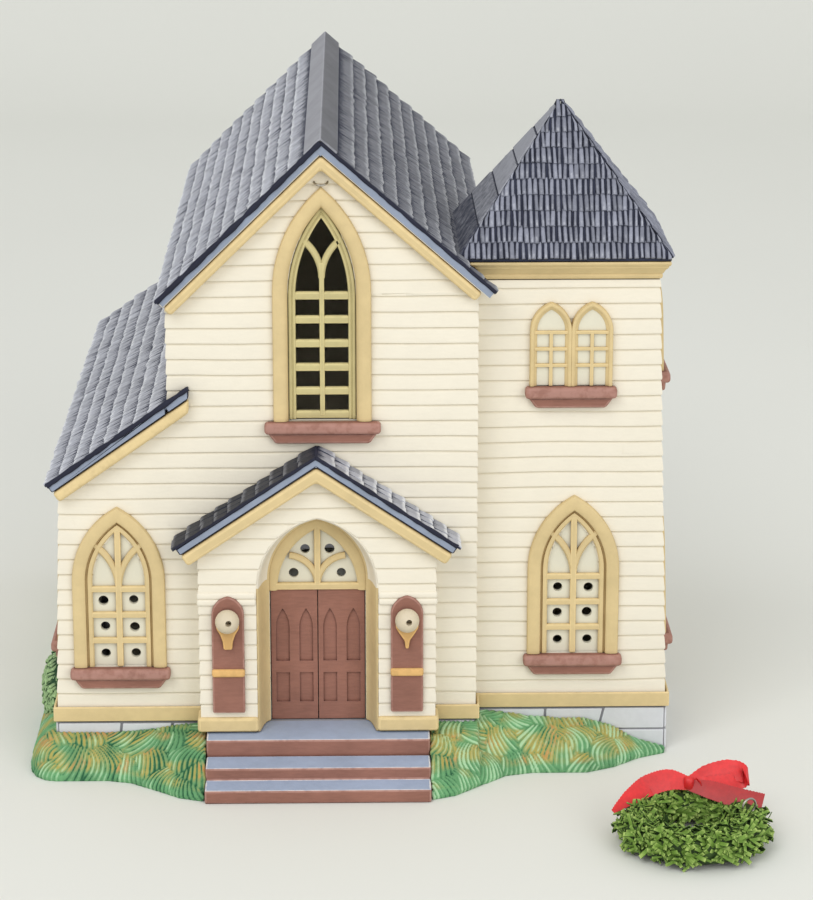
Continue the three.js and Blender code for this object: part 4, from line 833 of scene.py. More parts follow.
def slope_place(origin, along, down):
    """A place whose x runs along a course, whose -y runs down the slope and whose z stands out."""
    along, up = Vector(along).normalized(), -Vector(down).normalized()
    return Matrix.Translation(origin) @ turned_to(along, up, along.cross(up))


def coursed(name, material, slope, widths, first, pitch, strip, height, rows, keep=None, reach=None,
            flat=0.2, tones=TIPPED, narrow=0.7):
    """Courses of narrow slates down a slope. widths(down) gives where a course starts and ends,
    keep(x, down) says which slates stay, and reach(down) is how far a hip lets them go."""
    places = []
    tints = []
    for row in range(rows):
        head = first + row * pitch
        start, end = widths(head + pitch)
        count = max(1, round((end - start) / strip))
        for i in range(count):
            x = start + (end - start) * (i + 0.5) / count
            if keep and not keep(x, head + pitch):
                continue
            seed = row * 0.01
            wave = 0.5 * MM * wander(x, seed, 7 * MM, 9.1) + 0.25 * MM * wander(x, seed, 2.2 * MM)
            lift = 0.25 * MM * wander(x, seed, 9 * MM, 4.4)
            wide = (end - start) / count / strip * random.uniform(narrow, 1.08)
            tall = random.uniform(0.8, 1.15)
            turn = Matrix.Rotation(random.uniform(-0.05, 0.05), 4, "Z")
            scale = Matrix.Diagonal((wide, 1 + wave / pitch, tall, 1))
            places.append(shifted(x, -head, lift) @ turn @ scale)
            tints.append(random.random())
    overlap = 1.12
    piece = copied(slate_master("slate", strip, pitch * overlap, height, flat, tones), places, name, tints)
    if reach:
        table = points_of(piece)
        for row in table:
            limit = reach(-row[1])
            row[0] = min(limit, max(-limit, row[0]))
        move_points(piece, table)
    return ready(placed(piece, slope), "slate", material)


def roof_slab(node, round_by=0.3 * MM, verge=lambda face: abs(face.normal.y) > 0.8):
    """The slab under the slates, painted navy as the shade seen between them, with the steel blue paint on
    its ends.
    """
    slab = softened(node, "slate", "slate_core", round_by, 1)
    second_finish(slab, "verge", verge)
    return slab


class CHURCH_OT_nave_roof(bpy.types.Operator):
    """Slate courses, slabs and ridge strips of the nave roof"""
    bl_idname = "church.nave_roof"
    bl_label = "Nave roof"

    def execute(self, context):
        sizes = context.scene.church_sizes
        cap = high("nave_ridge_cap").x
        front, rear = low("nave_roof_left").y, high("nave_roof_left").y
        tower_front, tower_rear = low("tower_roof").y - 2 * MM, high("tower_roof").y + 2 * MM
        # The right slope takes the darker slate_shaded finish: painted shade for the slope turned from the
        # light
        for side, node, slope, grey in ((-1, "nave_roof_left", LEFT_SLOPE, "slate"),
                                        (1, "nave_roof_right", RIGHT_SLOPE, "slate_shaded")):
            reach = abs(low(node).x if side < 0 else high(node).x)
            stretch = math.hypot(1, slope)
            start = cap * stretch * 0.92
            length = reach * stretch - start
            rows = round(length / sizes.course_pitch)
            ends = sorted((side * front, side * rear))

            def clear_of_tower(x, down, side=side, stretch=stretch):
                beside_tower = tower_front < side * x < tower_rear
                return side < 0 or not (beside_tower and down / stretch > NAVE_SIDE - MM)
            coursed(node + "_slates", grey, slope_place((0, 0, RIDGE), (0, side, 0), (side, 0, -slope)),
                    lambda _, e=ends: (e[0] + MM, e[1] - MM), start, length / rows, sizes.strip_width,
                    sizes.slate_height, rows, clear_of_tower)
            second_finish(roof_slab(node), "bisque", lambda face: face.normal.z < -0.3)
        # The ridge strip's right face is painted darker, as shade
        strip = softened("nave_ridge_cap", "slate", "ridge", 0.35 * MM)
        second_finish(strip, "ridge_dark", lambda face: face.normal.x > 0.2)
        return {"FINISHED"}


class CHURCH_OT_aisle_roof(bpy.types.Operator):
    """Slate courses and slab of the aisle roof"""
    bl_idname = "church.aisle_roof"
    bl_label = "Aisle roof"

    def execute(self, context):
        sizes = context.scene.church_sizes
        corner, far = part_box("aisle_roof")
        top_x = -NAVE_SIDE - SEAM
        eave = far.z - AISLE_SLOPE * (far.x - corner.x)
        origin = (top_x, 0, eave + AISLE_SLOPE * (top_x - corner.x))
        length = (top_x - corner.x) * math.hypot(1, AISLE_SLOPE)
        rows = round(length / sizes.course_pitch)
        coursed("aisle_slates", "slate", slope_place(origin, (0, -1, 0), (-1, 0, -AISLE_SLOPE)),
                lambda _: (MM - far.y, -corner.y - MM), 0, length / rows, sizes.strip_width,
                sizes.slate_height, rows)
        roof_slab("aisle_roof")
        return {"FINISHED"}


class CHURCH_OT_tower_roof(bpy.types.Operator):
    """Slates, slabs and cornice of the tower roof"""
    bl_idname = "church.tower_roof"
    bl_label = "Tower roof"

    def execute(self, context):
        sizes = context.scene.church_sizes
        corner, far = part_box("tower_roof")
        tip = 1.3 * MM
        centre_y = (corner.y + far.y) / 2
        half = (far.y - corner.y) / 2
        centre_x = far.x - half
        eave = corner.z + 1.6 * MM
        slope = (far.z - eave) / (half - tip)
        stretch = math.hypot(1, slope)
        length = (half - tip) * stretch
        rows, rows_seen = 10, 9.6
        pitch = length / rows_seen

        def reach(down):
            return tip + (half - tip) * min(1.0, max(0.0, down / length)) - 0.15 * MM

        def widths(down):
            return (-reach(down) - 0.4 * MM, reach(down) + 0.4 * MM)
        for name, (dx, dy), along in (("front", (0, -1), (1, 0, 0)), ("right", (1, 0), (0, 1, 0)),
                                      ("rear", (0, 1), (-1, 0, 0))):
            top = (centre_x + dx * tip, centre_y + dy * tip, far.z)

            def clear_of_nave(x, down, dx=dx, along=along, top=top):
                out = down / stretch
                at_x = top[0] + dx * out + along[0] * x
                return top[2] - slope * out > RIDGE - RIGHT_SLOPE * at_x + MM
            coursed("tower_slates_" + name, "slate_tower", slope_place(top, along, (dx, dy, -slope)), widths,
                    -0.35 * pitch, pitch, sizes.tower_strip, sizes.slate_height * 0.9, rows, clear_of_nave,
                    reach, tones=STREAKED, narrow=0.6)
        slabs = []
        slab_rows = 5
        for row in range(slab_rows):
            start, end = length * row / slab_rows + 0.4 * MM, length * (row + 1) / slab_rows - 0.3 * MM
            top_half, foot_half = (tip + (half - tip) * down / length for down in (start, end))
            outline = [(-top_half, -start), (top_half, -start), (foot_half, -end), (-foot_half, -end)]
            slab = outlined("slab", outline, "plan", -0.6 * MM, (0.35 + 0.12 * (row % 2)) * MM)
            bevelled(slab, 0.3 * MM)
            # Each slab lower down the face takes a lower tone: the face is painted darker towards the eave,
            # as shade
            attribute(slab, "tone", np.full(len(slab.data.vertices), 0.62 - 0.11 * row))
            slabs.append(slab)
        place = slope_place((centre_x - tip, centre_y, far.z), (0, -1, 0), (-1, 0, -slope))
        ready(smooth(placed(merged(slabs, "tower_slabs_left"), place)), "slate", "slate")
        softened("tower_roof", "slate", "slate_core", 0.3 * MM, 1)
        self.cornice()
        return {"FINISHED"}

    def cornice(self):
        """A moulded band, pulled up a little at a time to the (up, out) shares of its section."""
        corner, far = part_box("tower_cornice")
        section = ((0.05, 0.16), (0.18, 0.24), (0.28, 0.2), (0.34, 0.3), (0.5, 0.46), (0.66, 0.74),
                   (0.74, 0.78), (0.8, 0.92), (0.9, 1.0), (1.0, 0.96))
        lean, front = 3.0 * MM, 4.4 * MM
        right, near, back = far.x - lean, corner.y + front, far.y - front
        inner = NAVE_SIDE - 2.2 * MM
        outline = [(inner, near), (right, near), (right, back), (inner, back)]
        piece = outlined("tower_cornice_moulded", outline, "plan", corner.z, corner.z + 0.01 * MM)
        for share_up, share_out in section:
            z = corner.z + (far.z - corner.z) * share_up
            mesh = shape(piece)
            top = max(v.co.z for v in mesh.verts)
            pick(piece, "FACE", lambda face, top=top: abs(face.calc_center_median().z - top) < CUT_SLACK
                 and face.normal.z > 0.9)
            pulled((0, 0, z - top))
            mesh = bmesh.from_edit_mesh(piece.data)
            for vertex in mesh.verts:
                if vertex.select:
                    at_right = vertex.co.x > (inner + right) / 2
                    at_front = vertex.co.y < (near + back) / 2
                    vertex.co.x = right + lean * share_out if at_right else inner
                    vertex.co.y = near - front * share_out if at_front else back + front * share_out
            bmesh.update_edit_mesh(piece.data)
            shaped()
        bevelled(piece, 0.2 * MM, 2, 30)
        ready(smooth(piece, 40), "trim", "trim", "tower_cornice")


class CHURCH_OT_porch_roof(bpy.types.Operator):
    """Square slates of the porch roof"""
    bl_idname = "church.porch_roof"
    bl_label = "Porch roof"

    def execute(self, context):
        sizes = context.scene.church_sizes
        corner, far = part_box("porch_roof")
        length = (far.x - PORCH_X) * math.hypot(1, PORCH_SLOPE)
        rows = round(length / sizes.porch_tile)
        for side, name, grey in ((-1, "left", "slate_dark"), (1, "right", "slate")):
            place = slope_place((PORCH_X, 0, far.z), (0, side, 0), (side, 0, -PORCH_SLOPE))
            ends = sorted((side * (corner.y + 0.4 * MM), side * far.y))
            coursed("porch_slates_" + name, grey, place, lambda _, e=ends: e, 0.6 * MM, length / rows,
                    sizes.porch_tile * 0.96, sizes.slate_height * 0.8, rows, flat=0.44, narrow=0.82)
        roof_slab("porch_roof", 0.4 * MM, lambda face: face.normal.y < -0.8)
        return {"FINISHED"}


def wavy_line(name, start, end, thick, swing):
    """A thick line of paint and glaze from start to end with a wandering width."""
    start, end = Vector(start), Vector(end)
    length = (end - start).length
    step = 1.6 * MM
    piece = added(name, bpy.ops.mesh.primitive_cylinder_add, vertices=10, radius=thick / 2, depth=length)
    shape(piece)
    for i in range(1, int(length / step)):
        cut((0, 0, -length / 2 + i * step), (0, 0, 1))
    shaped()
    table = points_of(piece)
    for row in table:
        swell = wander(row[2], 0, 5 * MM, start.x) + 0.5 * wander(row[2], 0, 2 * MM, 8)
        row[:2] *= 1 + swing * swell
    move_points(piece, table)
    turn = (end - start).to_track_quat("Z", "Y").to_matrix().to_4x4()
    placed(piece, Matrix.Translation((start + end) / 2) @ turn)
    return smooth(piece, 60)


class CHURCH_OT_verges(bpy.types.Operator):
    """Navy lines along the front edges of the roofs"""
    bl_idname = "church.verges"
    bl_label = "Verge lines"

    def execute(self, context):
        y = low("nave_roof_left").y
        left, right = low("nave_roof_left").x, high("nave_roof_right").x
        aisle, aisle_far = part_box("aisle_roof")
        porch, porch_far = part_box("porch_roof")
        aisle_eave = aisle_far.z - AISLE_SLOPE * (aisle_far.x - aisle.x)
        porch_top, porch_eave = (PORCH_X, porch.y, porch_far.z), porch.z + 2.4 * MM
        for name, start, end, thick, swing in (
                ("left", (0, y, RIDGE), (left, y, RIDGE + LEFT_SLOPE * left), 1.7, 0.5),
                ("right", (0, y, RIDGE), (right, y, RIDGE - RIGHT_SLOPE * right), 1.1, 0.5),
                ("aisle", (aisle.x, aisle.y, aisle_eave), (aisle_far.x, aisle.y, aisle_far.z), 1.6, 0.5),
                ("porch_left", porch_top, (porch.x, porch.y, porch_eave), 1.0, 0.6),
                ("porch_right", porch_top, (porch_far.x, porch.y, porch_eave), 1.3, 0.6)):
            ready(wavy_line("verge_line_" + name, start, end, thick * MM, swing), "slate", "verge_line")
        diamond = [(-1.6 * MM, RIDGE - 2.2 * MM), (0, RIDGE - 0.3 * MM), (1.6 * MM, RIDGE - 2.2 * MM),
                   (0, RIDGE - 4.1 * MM)]
        ready(smooth(outlined("verge_peak", diamond, "front", y - 0.08 * MM, y + MM)), "slate", "verge")
        return {"FINISHED"}


# Arches and windows

def arch_outline(centre, half, foot, top, rise, steps=14):
    """A pointed arch from its left foot over the top to its right foot, as (across, up)."""
    radius = (half * half + rise * rise) / (2 * half)
    sweep = math.atan2(rise, radius - half)
    side = [(half - radius + radius * math.cos(sweep * i / steps),
             top - rise + radius * math.sin(sweep * i / steps)) for i in range(steps + 1)]
    left = [(centre - half, foot)] + [(centre - x, z) for x, z in side]
    return left + [(centre + x, z) for x, z in reversed(side[:-1])] + [(centre + half, foot)]


def loop_of(name, points):
    """A closed loop of edges, ready to be pulled along a path, in edit mode."""
    piece = ring_of(name, "NOTHING", points)
    bpy.ops.mesh.select_mode(type="VERT")
    bpy.ops.mesh.select_all(action="SELECT")
    return piece


def closed(piece):
    shape(piece)
    bpy.ops.mesh.select_all(action="SELECT")
    bpy.ops.mesh.fill_holes(sides=0)
    faced_out()
    shaped()
    return piece


def section_of(shares, across=MM, out=MM):
    """A moulding's section, from its (inwards, outwards) shares of the two sizes."""
    return [(across * a, out * b) for a, b in shares]


def frame_section(border, proud):
    """An outer band with a soft face, a groove and an inner fillet."""
    return section_of(((0, -0.12), (0, 0.62), (0.04, 0.86), (0.12, 0.98), (0.36, 1.02), (0.56, 0.94),
                       (0.64, 0.78), (0.66, 0.3), (0.74, 0.3), (0.77, 0.58), (0.94, 0.58), (1, 0.42),
                       (1, -0.12)), border, proud)


def arch_moulding(name, half, foot, top, rise, section):
    """A moulding round a pointed arch. The section is (inwards, outwards) from the arch's outline."""
    radius = (half * half + rise * rise) / (2 * half)
    spring = top - rise
    past_middle = 0.1
    piece = loop_of(name, [(-half + inwards, -outwards, foot) for inwards, outwards in section])
    pulled((0, 0, spring - foot))
    bpy.ops.mesh.spin(steps=18, angle=-math.atan2(rise, radius - half) - past_middle,
                      center=(radius - half, 0, spring), axis=(0, 1, 0))
    cut((0, 0, 0), (1, 0, 0), clear_outer=True)
    shaped()
    modified(piece, "MIRROR", use_mirror_merge=True, merge_threshold=0.02 * MM)
    return closed(piece)


def curved_bars(foot, reach, rise, width, front, back):
    """Two bars that leave the middle bar and lean out to the arch."""
    radius = (reach * reach + rise * rise) / (2 * reach)
    half, soft = width / 2, width * 0.24
    section = [(-half, back), (-half, front + soft), (-half + soft, front),
               (half - soft, front), (half, front + soft), (half, back)]
    piece = loop_of("arms", [(x, y, foot) for x, y in section])
    bpy.ops.mesh.spin(steps=10, angle=-math.asin(min(1, rise / radius)), center=(radius, 0, foot),
                      axis=(0, 1, 0))
    shaped()
    modified(piece, "MIRROR", use_mirror_merge=False)
    table = points_of(piece)
    table[len(table) // 2:, 1] += 0.06 * MM
    move_points(piece, table)
    return closed(piece)


def bar(x0, x1, z0, z1, front, back):
    return rounded_box("bar", (x0, front, z0), (x1, back, z1), min(x1 - x0, z1 - z0) * 0.24)


def level_bar(half, z, wide, front, back, x=0):
    return bar(x - half, x + half, z, z + wide, front, back)


def upright(wide, foot, top, front, back, x=0):
    return bar(x - wide / 2, x + wide / 2, foot, top, front, back)


def glazed(pieces, name):
    return smooth(merged(pieces, name), 32)


def pierced_plate(name, outline, holes, front, back):
    """A pane with round air holes through it."""
    radius = bpy.context.scene.church_sizes.vent_radius
    plate = outlined(name, outline, "front", front, back)
    drills = [placed(added("drill", bpy.ops.mesh.primitive_cylinder_add, vertices=20,
                           radius=radius * random.uniform(0.94, 1.06), depth=20 * MM, location=(x, front, z),
                           rotation=(math.pi / 2, 0, 0))) for x, z in holes]
    cut_away(plate, drills)
    return smooth(bevelled(plate, 0.22 * MM, 2, 40), 35)


def window_sill(name, end, top):
    """A rounded board with a narrower, slanted foot under it."""
    deep, tall, tuck = 4.0 * MM, 6.8 * MM, 3.4 * MM
    board = rounded_box("sill_board", (-end, -deep - SEAM, top - tall * 0.53), (end, 0, top), 1.1 * MM, 3)
    shoulder, foot_z = top - tall * 0.48, top - tall
    outline = [(-end + 0.8 * MM, shoulder), (end - 0.8 * MM, shoulder), (end - tuck, foot_z),
               (-end + tuck, foot_z)]
    foot = outlined("sill_foot", outline, "front", -deep * 0.72, 0)
    return smooth(merged([board, bevelled(foot, 0.8 * MM, 3)], name))


def repeated(master, name, matrix):
    """A copy of a finished master with a mesh of its own."""
    piece = master.copy()
    piece.data = master.data.copy()
    piece.name = name
    bpy.context.scene.collection.objects.link(piece)
    return placed(piece, matrix)


def lancet_glazing(name, half, foot, top, rise, border, rows, arms):
    """Frame and bars of a lancet window, centred on x = 0."""
    width = bpy.context.scene.church_sizes.bar_width
    inner, inner_top = half - border, top - border * 1.25
    front, back = -1.4 * MM, 0.3 * MM
    pieces = [arch_moulding("frame", half, foot, top, rise, frame_section(border, TRIM_PROUD)),
              upright(width, foot, inner_top + MM, front, back)]
    pieces += [level_bar(inner + 0.6 * MM, foot + row, width, front + 0.1 * MM, back) for row in rows]
    if arms:
        arm_foot = foot + rows[-1] + width / 2
        pieces.append(curved_bars(arm_foot, inner, (inner_top - arm_foot) * 0.8, width,
                                  front + 0.05 * MM, back))
    return glazed(pieces, name)


def side_place(node, turn, x, lean):
    """The place of a side wall's window."""
    across = middle_of(node)[1] - FRONT
    return on_wall(turn, x, FRONT, lean) @ shifted(across if turn > 0 else -across, 0)


class CHURCH_OT_windows(bpy.types.Operator):
    """Frames, bars, panes and sills of every window"""
    bl_idname = "church.windows"
    bl_label = "Windows"

    def execute(self, context):
        self.pierced("aisle_window", FRONT)
        self.pierced("tower_window", TOWER_FRONT)
        self.gable()
        self.twin()
        self.side_windows()
        self.rear_rim()
        for name in ("gable", "aisle", "tower", "twin"):
            node = name + "_window_sill"
            x, half, _, top = face_of(node)
            board = window_sill(node + "_board", half, top + 0.2 * MM)
            ready(placed(board, shifted(x, high(node).y + SEAM)), "sill", "maroon", node)
        return {"FINISHED"}

    def pierced(self, name, wall):
        """A lancet with three pairs of air holes."""
        bar_width = bpy.context.scene.church_sizes.bar_width
        x, half, foot, top = face_of(name + "_frame")
        place = shifted(x, wall)
        rise, border = 24 * MM, 6.3 * MM
        rows = [row * MM for row in (7.6, 16, 24.4)]
        glazing = lancet_glazing(name + "_glazing", half, foot, top, rise, border, rows, True)
        ready(placed(glazing, place), "trim", "trim", name + "_frame")
        inner = half - border
        holes = []
        row_foot = 0
        for row in rows:
            for side in (-1, 1):
                x = side * (inner + bar_width / 2) / 2 + random.uniform(-0.4, 0.4) * MM
                holes.append((x, foot + (row_foot + row) / 2 + random.uniform(-0.2, 0.5) * MM))
            row_foot = row + bar_width
        outline = arch_outline(0, inner + 0.25 * MM, foot, top - border * 1.25, rise - border * 0.9)
        plate = pierced_plate(name + "_plate", outline, holes, 0.1 * MM, 2.1 * MM)
        ready(placed(plate, place), "pane", "pane", name + "_panes")

    def gable(self):
        """The tall window: a frame, and an open lattice of six bars with two arms."""
        place = shifted(0, FRONT)
        _, half, foot, top = face_of("gable_window_frame")
        section = section_of(((0, -0.12), (0, 0.62), (0.06, 0.88), (0.18, 1.0), (0.55, 1.03), (0.8, 0.9),
                              (0.94, 0.6), (1, 0.3), (1, -0.12)), 4.6 * MM, TRIM_PROUD)
        ring = smooth(arch_moulding("gable_window_ring", half, foot, top, 32.2 * MM, section))
        ready(placed(ring, place), "trim", "trim", "gable_window_frame")
        _, half, foot, top = face_of("gable_window_lattice")
        half += 0.2 * MM
        front, back = 0.1 * MM, 2.3 * MM
        section = section_of(((0, 2.3), (0, 0.3), (0.1, 0.1), (0.42, 0.1), (0.5, 0.5), (0.6, 0.5), (0.7, 0.3),
                              (0.94, 0.3), (1, 0.6), (1, 2.3)), 2.3 * MM, -MM)
        rows, pitch, wide, mullion = 6, 7.45 * MM, 2.5 * MM, 1.5 * MM
        arm_foot = foot + (rows - 1) * pitch + wide + 4.2 * MM
        pieces = [arch_moulding("ring", half, foot, top, 28.1 * MM, section),
                  upright(mullion, foot + MM, arm_foot + 4.8 * MM, front + 0.12 * MM, back)]
        pieces += [level_bar(half - MM, foot + row * pitch, wide, front + 0.35 * MM, back)
                   for row in range(rows)]
        pieces.append(curved_bars(arm_foot, half * 0.87, (top - arm_foot) * 0.615, mullion * 1.3,
                                  front + 0.2 * MM, back))
        lattice = glazed(pieces, "gable_window_bars")
        ready(placed(lattice, place), "lattice", "lattice", "gable_window_lattice")

    def twin_parts(self, foot, top):
        """The two small arches side by side, with their bars, and the panes behind them."""
        half, overlap, border, wide = 6.5 * MM, 0.4 * MM, 2.2 * MM, 1.1 * MM
        rows = [row * MM for row in (6, 11.2, 16.4)]
        section = frame_section(border, 2.4 * MM)[:7] + [(border * 0.9, 1.5 * MM), (border, 1.2 * MM),
                                                        (border, -0.2 * MM)]
        frames, plates = [], []
        for side in (-1, 1):
            middle = side * (half - overlap / 2)
            ring = arch_moulding("ring", half, foot, top, 9 * MM, section)
            frames.append(placed(ring, shifted(middle, 0)))
            frames.append(upright(wide, foot, foot + rows[-1] + wide / 2, -2.0 * MM, 0.2 * MM, middle))
            frames += [level_bar(half - MM, foot + row, wide, -1.95 * MM, 0.2 * MM, middle) for row in rows]
            outline = arch_outline(middle, half - 0.5 * MM, foot + 0.2 * MM, top - MM, 8.6 * MM)
            plates.append(outlined("plate", outline, "front", -1.1 * MM, 0.2 * MM))
        return glazed(frames, "twin_glazing"), glazed(plates, "twin_window_plate")

    def twin(self):
        x, _, foot, top = face_of("twin_window_frame")
        glazing, plate = self.twin_parts(foot, top)
        node = "tower_side_twin_window"
        place = side_place(node, math.pi / 2, TOWER_SIDE, -WALL_LEAN)
        ready(repeated(glazing, "side_twin_glazing", place), "trim", "trim", node)
        ready(repeated(plate, "side_twin_plate", place), "trim", "pane")
        ready(placed(window_sill("side_twin_sill", 15 * MM, foot + 0.3 * MM), place), "trim", "maroon")
        place = shifted(x, TOWER_FRONT)
        ready(placed(glazing, place), "trim", "trim", "twin_window_frame")
        ready(placed(plate, place), "pane", "pane", "twin_window_panes")

    def side_windows(self):
        """One window, copied to six places on the side walls."""
        foot, half, border = low("aisle_window_frame").z, 12 * MM, 3.6 * MM
        top = foot + 46 * MM
        rows = [(9.2 * row - 2) * MM for row in (1, 2, 3)]
        glazing = lancet_glazing("side_glazing", half, foot, top, 20 * MM, border, rows, False)
        outline = arch_outline(0, half - MM, foot, top - 1.4 * MM, 19.4 * MM)
        masters = (
            ("_glazing", "trim", glazing),
            ("_pane", "pane", smooth(outlined("side_plate", outline, "front", -0.5 * MM, 0.3 * MM))),
            ("_sill", "maroon", window_sill("side_sill", half + 1.2 * MM, foot + 0.3 * MM)),
        )
        walls = [("aisle_side_window_%d" % i, -math.pi / 2, AISLE_SIDE, WALL_LEAN) for i in (1, 2, 3)]
        walls += [("nave_side_window_%d" % i, math.pi / 2, NAVE_SIDE, 0) for i in (1, 2)]
        walls += [("tower_side_window", math.pi / 2, TOWER_SIDE, -WALL_LEAN)]
        for node, turn, x, lean in walls:
            place = side_place(node, turn, x, lean)
            for ending, material, master in masters:
                nodes = (node,) if ending == "_glazing" else ()
                ready(repeated(master, node + ending, place), "trim", material, *nodes)
        for _, _, master in masters:
            bpy.data.objects.remove(master)

    def rear_rim(self):
        _, half, foot, top = face_of("rear_opening_frame")
        section = section_of(((0, -0.12), (0, 0.62), (0.08, 0.9), (0.25, 1.0), (0.75, 1.0), (0.92, 0.9),
                              (1, 0.62), (1, -0.12)), 3.4 * MM, TRIM_PROUD)
        rim = smooth(arch_moulding("rear_opening_rim", half, foot, top, 34.4 * MM, section))
        ready(placed(rim, on_wall(math.pi, 0, REAR)), "trim", "trim", "rear_opening_frame")


# Trim

class CHURCH_OT_trim(bpy.types.Operator):
    """Drip bands, bargeboards, pillar feet and the ledge over the pillars"""
    bl_idname = "church.trim"
    bl_label = "Trim"

    def execute(self, context):
        for node in ("water_table_left", "water_table_right"):
            softened(node, "trim", "trim", 0.42 * MM, 3)
        for node in ("nave_bargeboard_front", "nave_bargeboard_rear", "aisle_bargeboard_front",
                     "aisle_bargeboard_rear", "porch_bargeboard"):
            softened(node, "trim", "trim", 1.1 * MM, 3)
        porch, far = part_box("porch_shell")
        for side, name, outer in ((-1, "left", porch.x), (1, "right", far.x)):
            inner = PORCH_X + side * PORCH_ARCH
            x0, x1 = sorted((outer + side * 1.1 * MM, inner - side * 0.4 * MM))
            foot = rounded_box("pillar_foot_" + name, (x0, porch.y - 1.1 * MM, porch.z),
                               (x1, porch.y + 8 * MM, porch.z + 4.8 * MM), 1.0 * MM, 3)
            ready(smooth(foot), "trim", "trim")
            x0, x1 = sorted((outer + side * 0.7 * MM, inner))
            ledges = [rounded_box("ledge", (x0, porch.y - 0.9 * MM, z), (x1, porch.y + 4 * MM, z + 2.3 * MM),
                                  0.8 * MM, 3) for z in PORCH_LEDGES]
            ready(smooth(merged(ledges, "pillar_ledge_" + name)), "siding", "siding")
        return {"FINISHED"}


# Door and lanterns

class CHURCH_OT_door(bpy.types.Operator):
    """Door leaves with sunk panels, the fanlight over them and the reveal round them"""
    bl_idname = "church.door"
    bl_label = "Door"

    def execute(self, context):
        place = shifted(PORCH_X, FRONT)
        self.leaf("door_leaf_left")
        self.leaf("door_leaf_right")
        self.fanlight(place)
        _, half, foot, top = face_of("door_surround")
        section = section_of(((-0.2, -0.1), (-0.2, 10.3), (0.2, 10.6), (0.7, 10.3), (1.1, 8.2), (1.7, 5.0),
                              (2.4, 2.6), (3.1, 1.3), (3.7, 0.9), (3.7, -0.1)))
        reveal = arch_moulding("door_reveal", half + 0.25 * MM, foot, top + 0.3 * MM, 22.9 * MM, section)
        ready(placed(smooth(reveal, 50), place), "trim", "trim", "door_surround")
        second_finish(reveal, "siding",
                      lambda face: face.center.z > DOOR_SPRING and face.center.y < FRONT - 1.2 * MM)
        return {"FINISHED"}

    def leaf(self, node):
        """A leaf with two arched panels over two square ones."""
        corner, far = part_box(node)
        leaf = outlined(node + "_panelled", [(corner.x, corner.z), (far.x, corner.z), (far.x, far.z),
                                             (corner.x, far.z)], "front", corner.y, far.y)
        half, front, sunk = 2.15 * MM, corner.y - MM, corner.y + 0.75 * MM
        foot, top = far.z - 37.2 * MM, far.z - 27.4 * MM
        cutters = []
        for offset in (-3.6, 3.7):
            x = middle_of(node)[0] + offset * MM
            arch = arch_outline(x, half, far.z - 23.6 * MM, far.z - 6.2 * MM, 6.5 * MM, 8)
            square = [(x - half, foot), (x + half, foot), (x + half, top), (x - half, top)]
            cutters += [outlined("cut", outline, "front", front, sunk) for outline in (arch, square)]
        cut_away(leaf, cutters)
        ready(smooth(bevelled(leaf, 0.26 * MM, 2, 40), 35), "sill", "maroon", node)

    def fanlight(self, place):
        _, half, foot, top = face_of("fanlight")
        half, rise = half + 0.3 * MM, 22.3 * MM
        holes = [(side * x * MM, foot + z * MM) for side in (-1, 1) for x, z in ((3.8, 12.7), (7.4, 4.9))]
        plate = pierced_plate("fanlight_plate", arch_outline(0, half, foot - 0.5 * MM, top, rise), holes,
                              1.0 * MM, 2.4 * MM)
        ready(placed(plate, place), "pane", "pane", "fanlight")
        wide, back = 2.0 * MM, 1.4 * MM
        section = section_of(((-0.95, -0.4), (-0.95, 0.3), (0, 0.45), (0.15, 0.6), (0.8, 0.5), (1, 0.1),
                              (1, -1.4)), 2.4 * MM)
        pieces = [arch_moulding("ring", half, foot - 0.4 * MM, top, rise, section),
                  bar(-half, half, foot - 0.3 * MM, foot + wide, -0.5 * MM, back),
                  upright(wide, foot, top - MM, -0.45 * MM, back),
                  curved_bars(foot + wide * 0.6, 10.6 * MM, 9.6 * MM, wide, -0.4 * MM, back)]
        ready(placed(glazed(pieces, "fanlight_bars"), place), "trim", "trim")


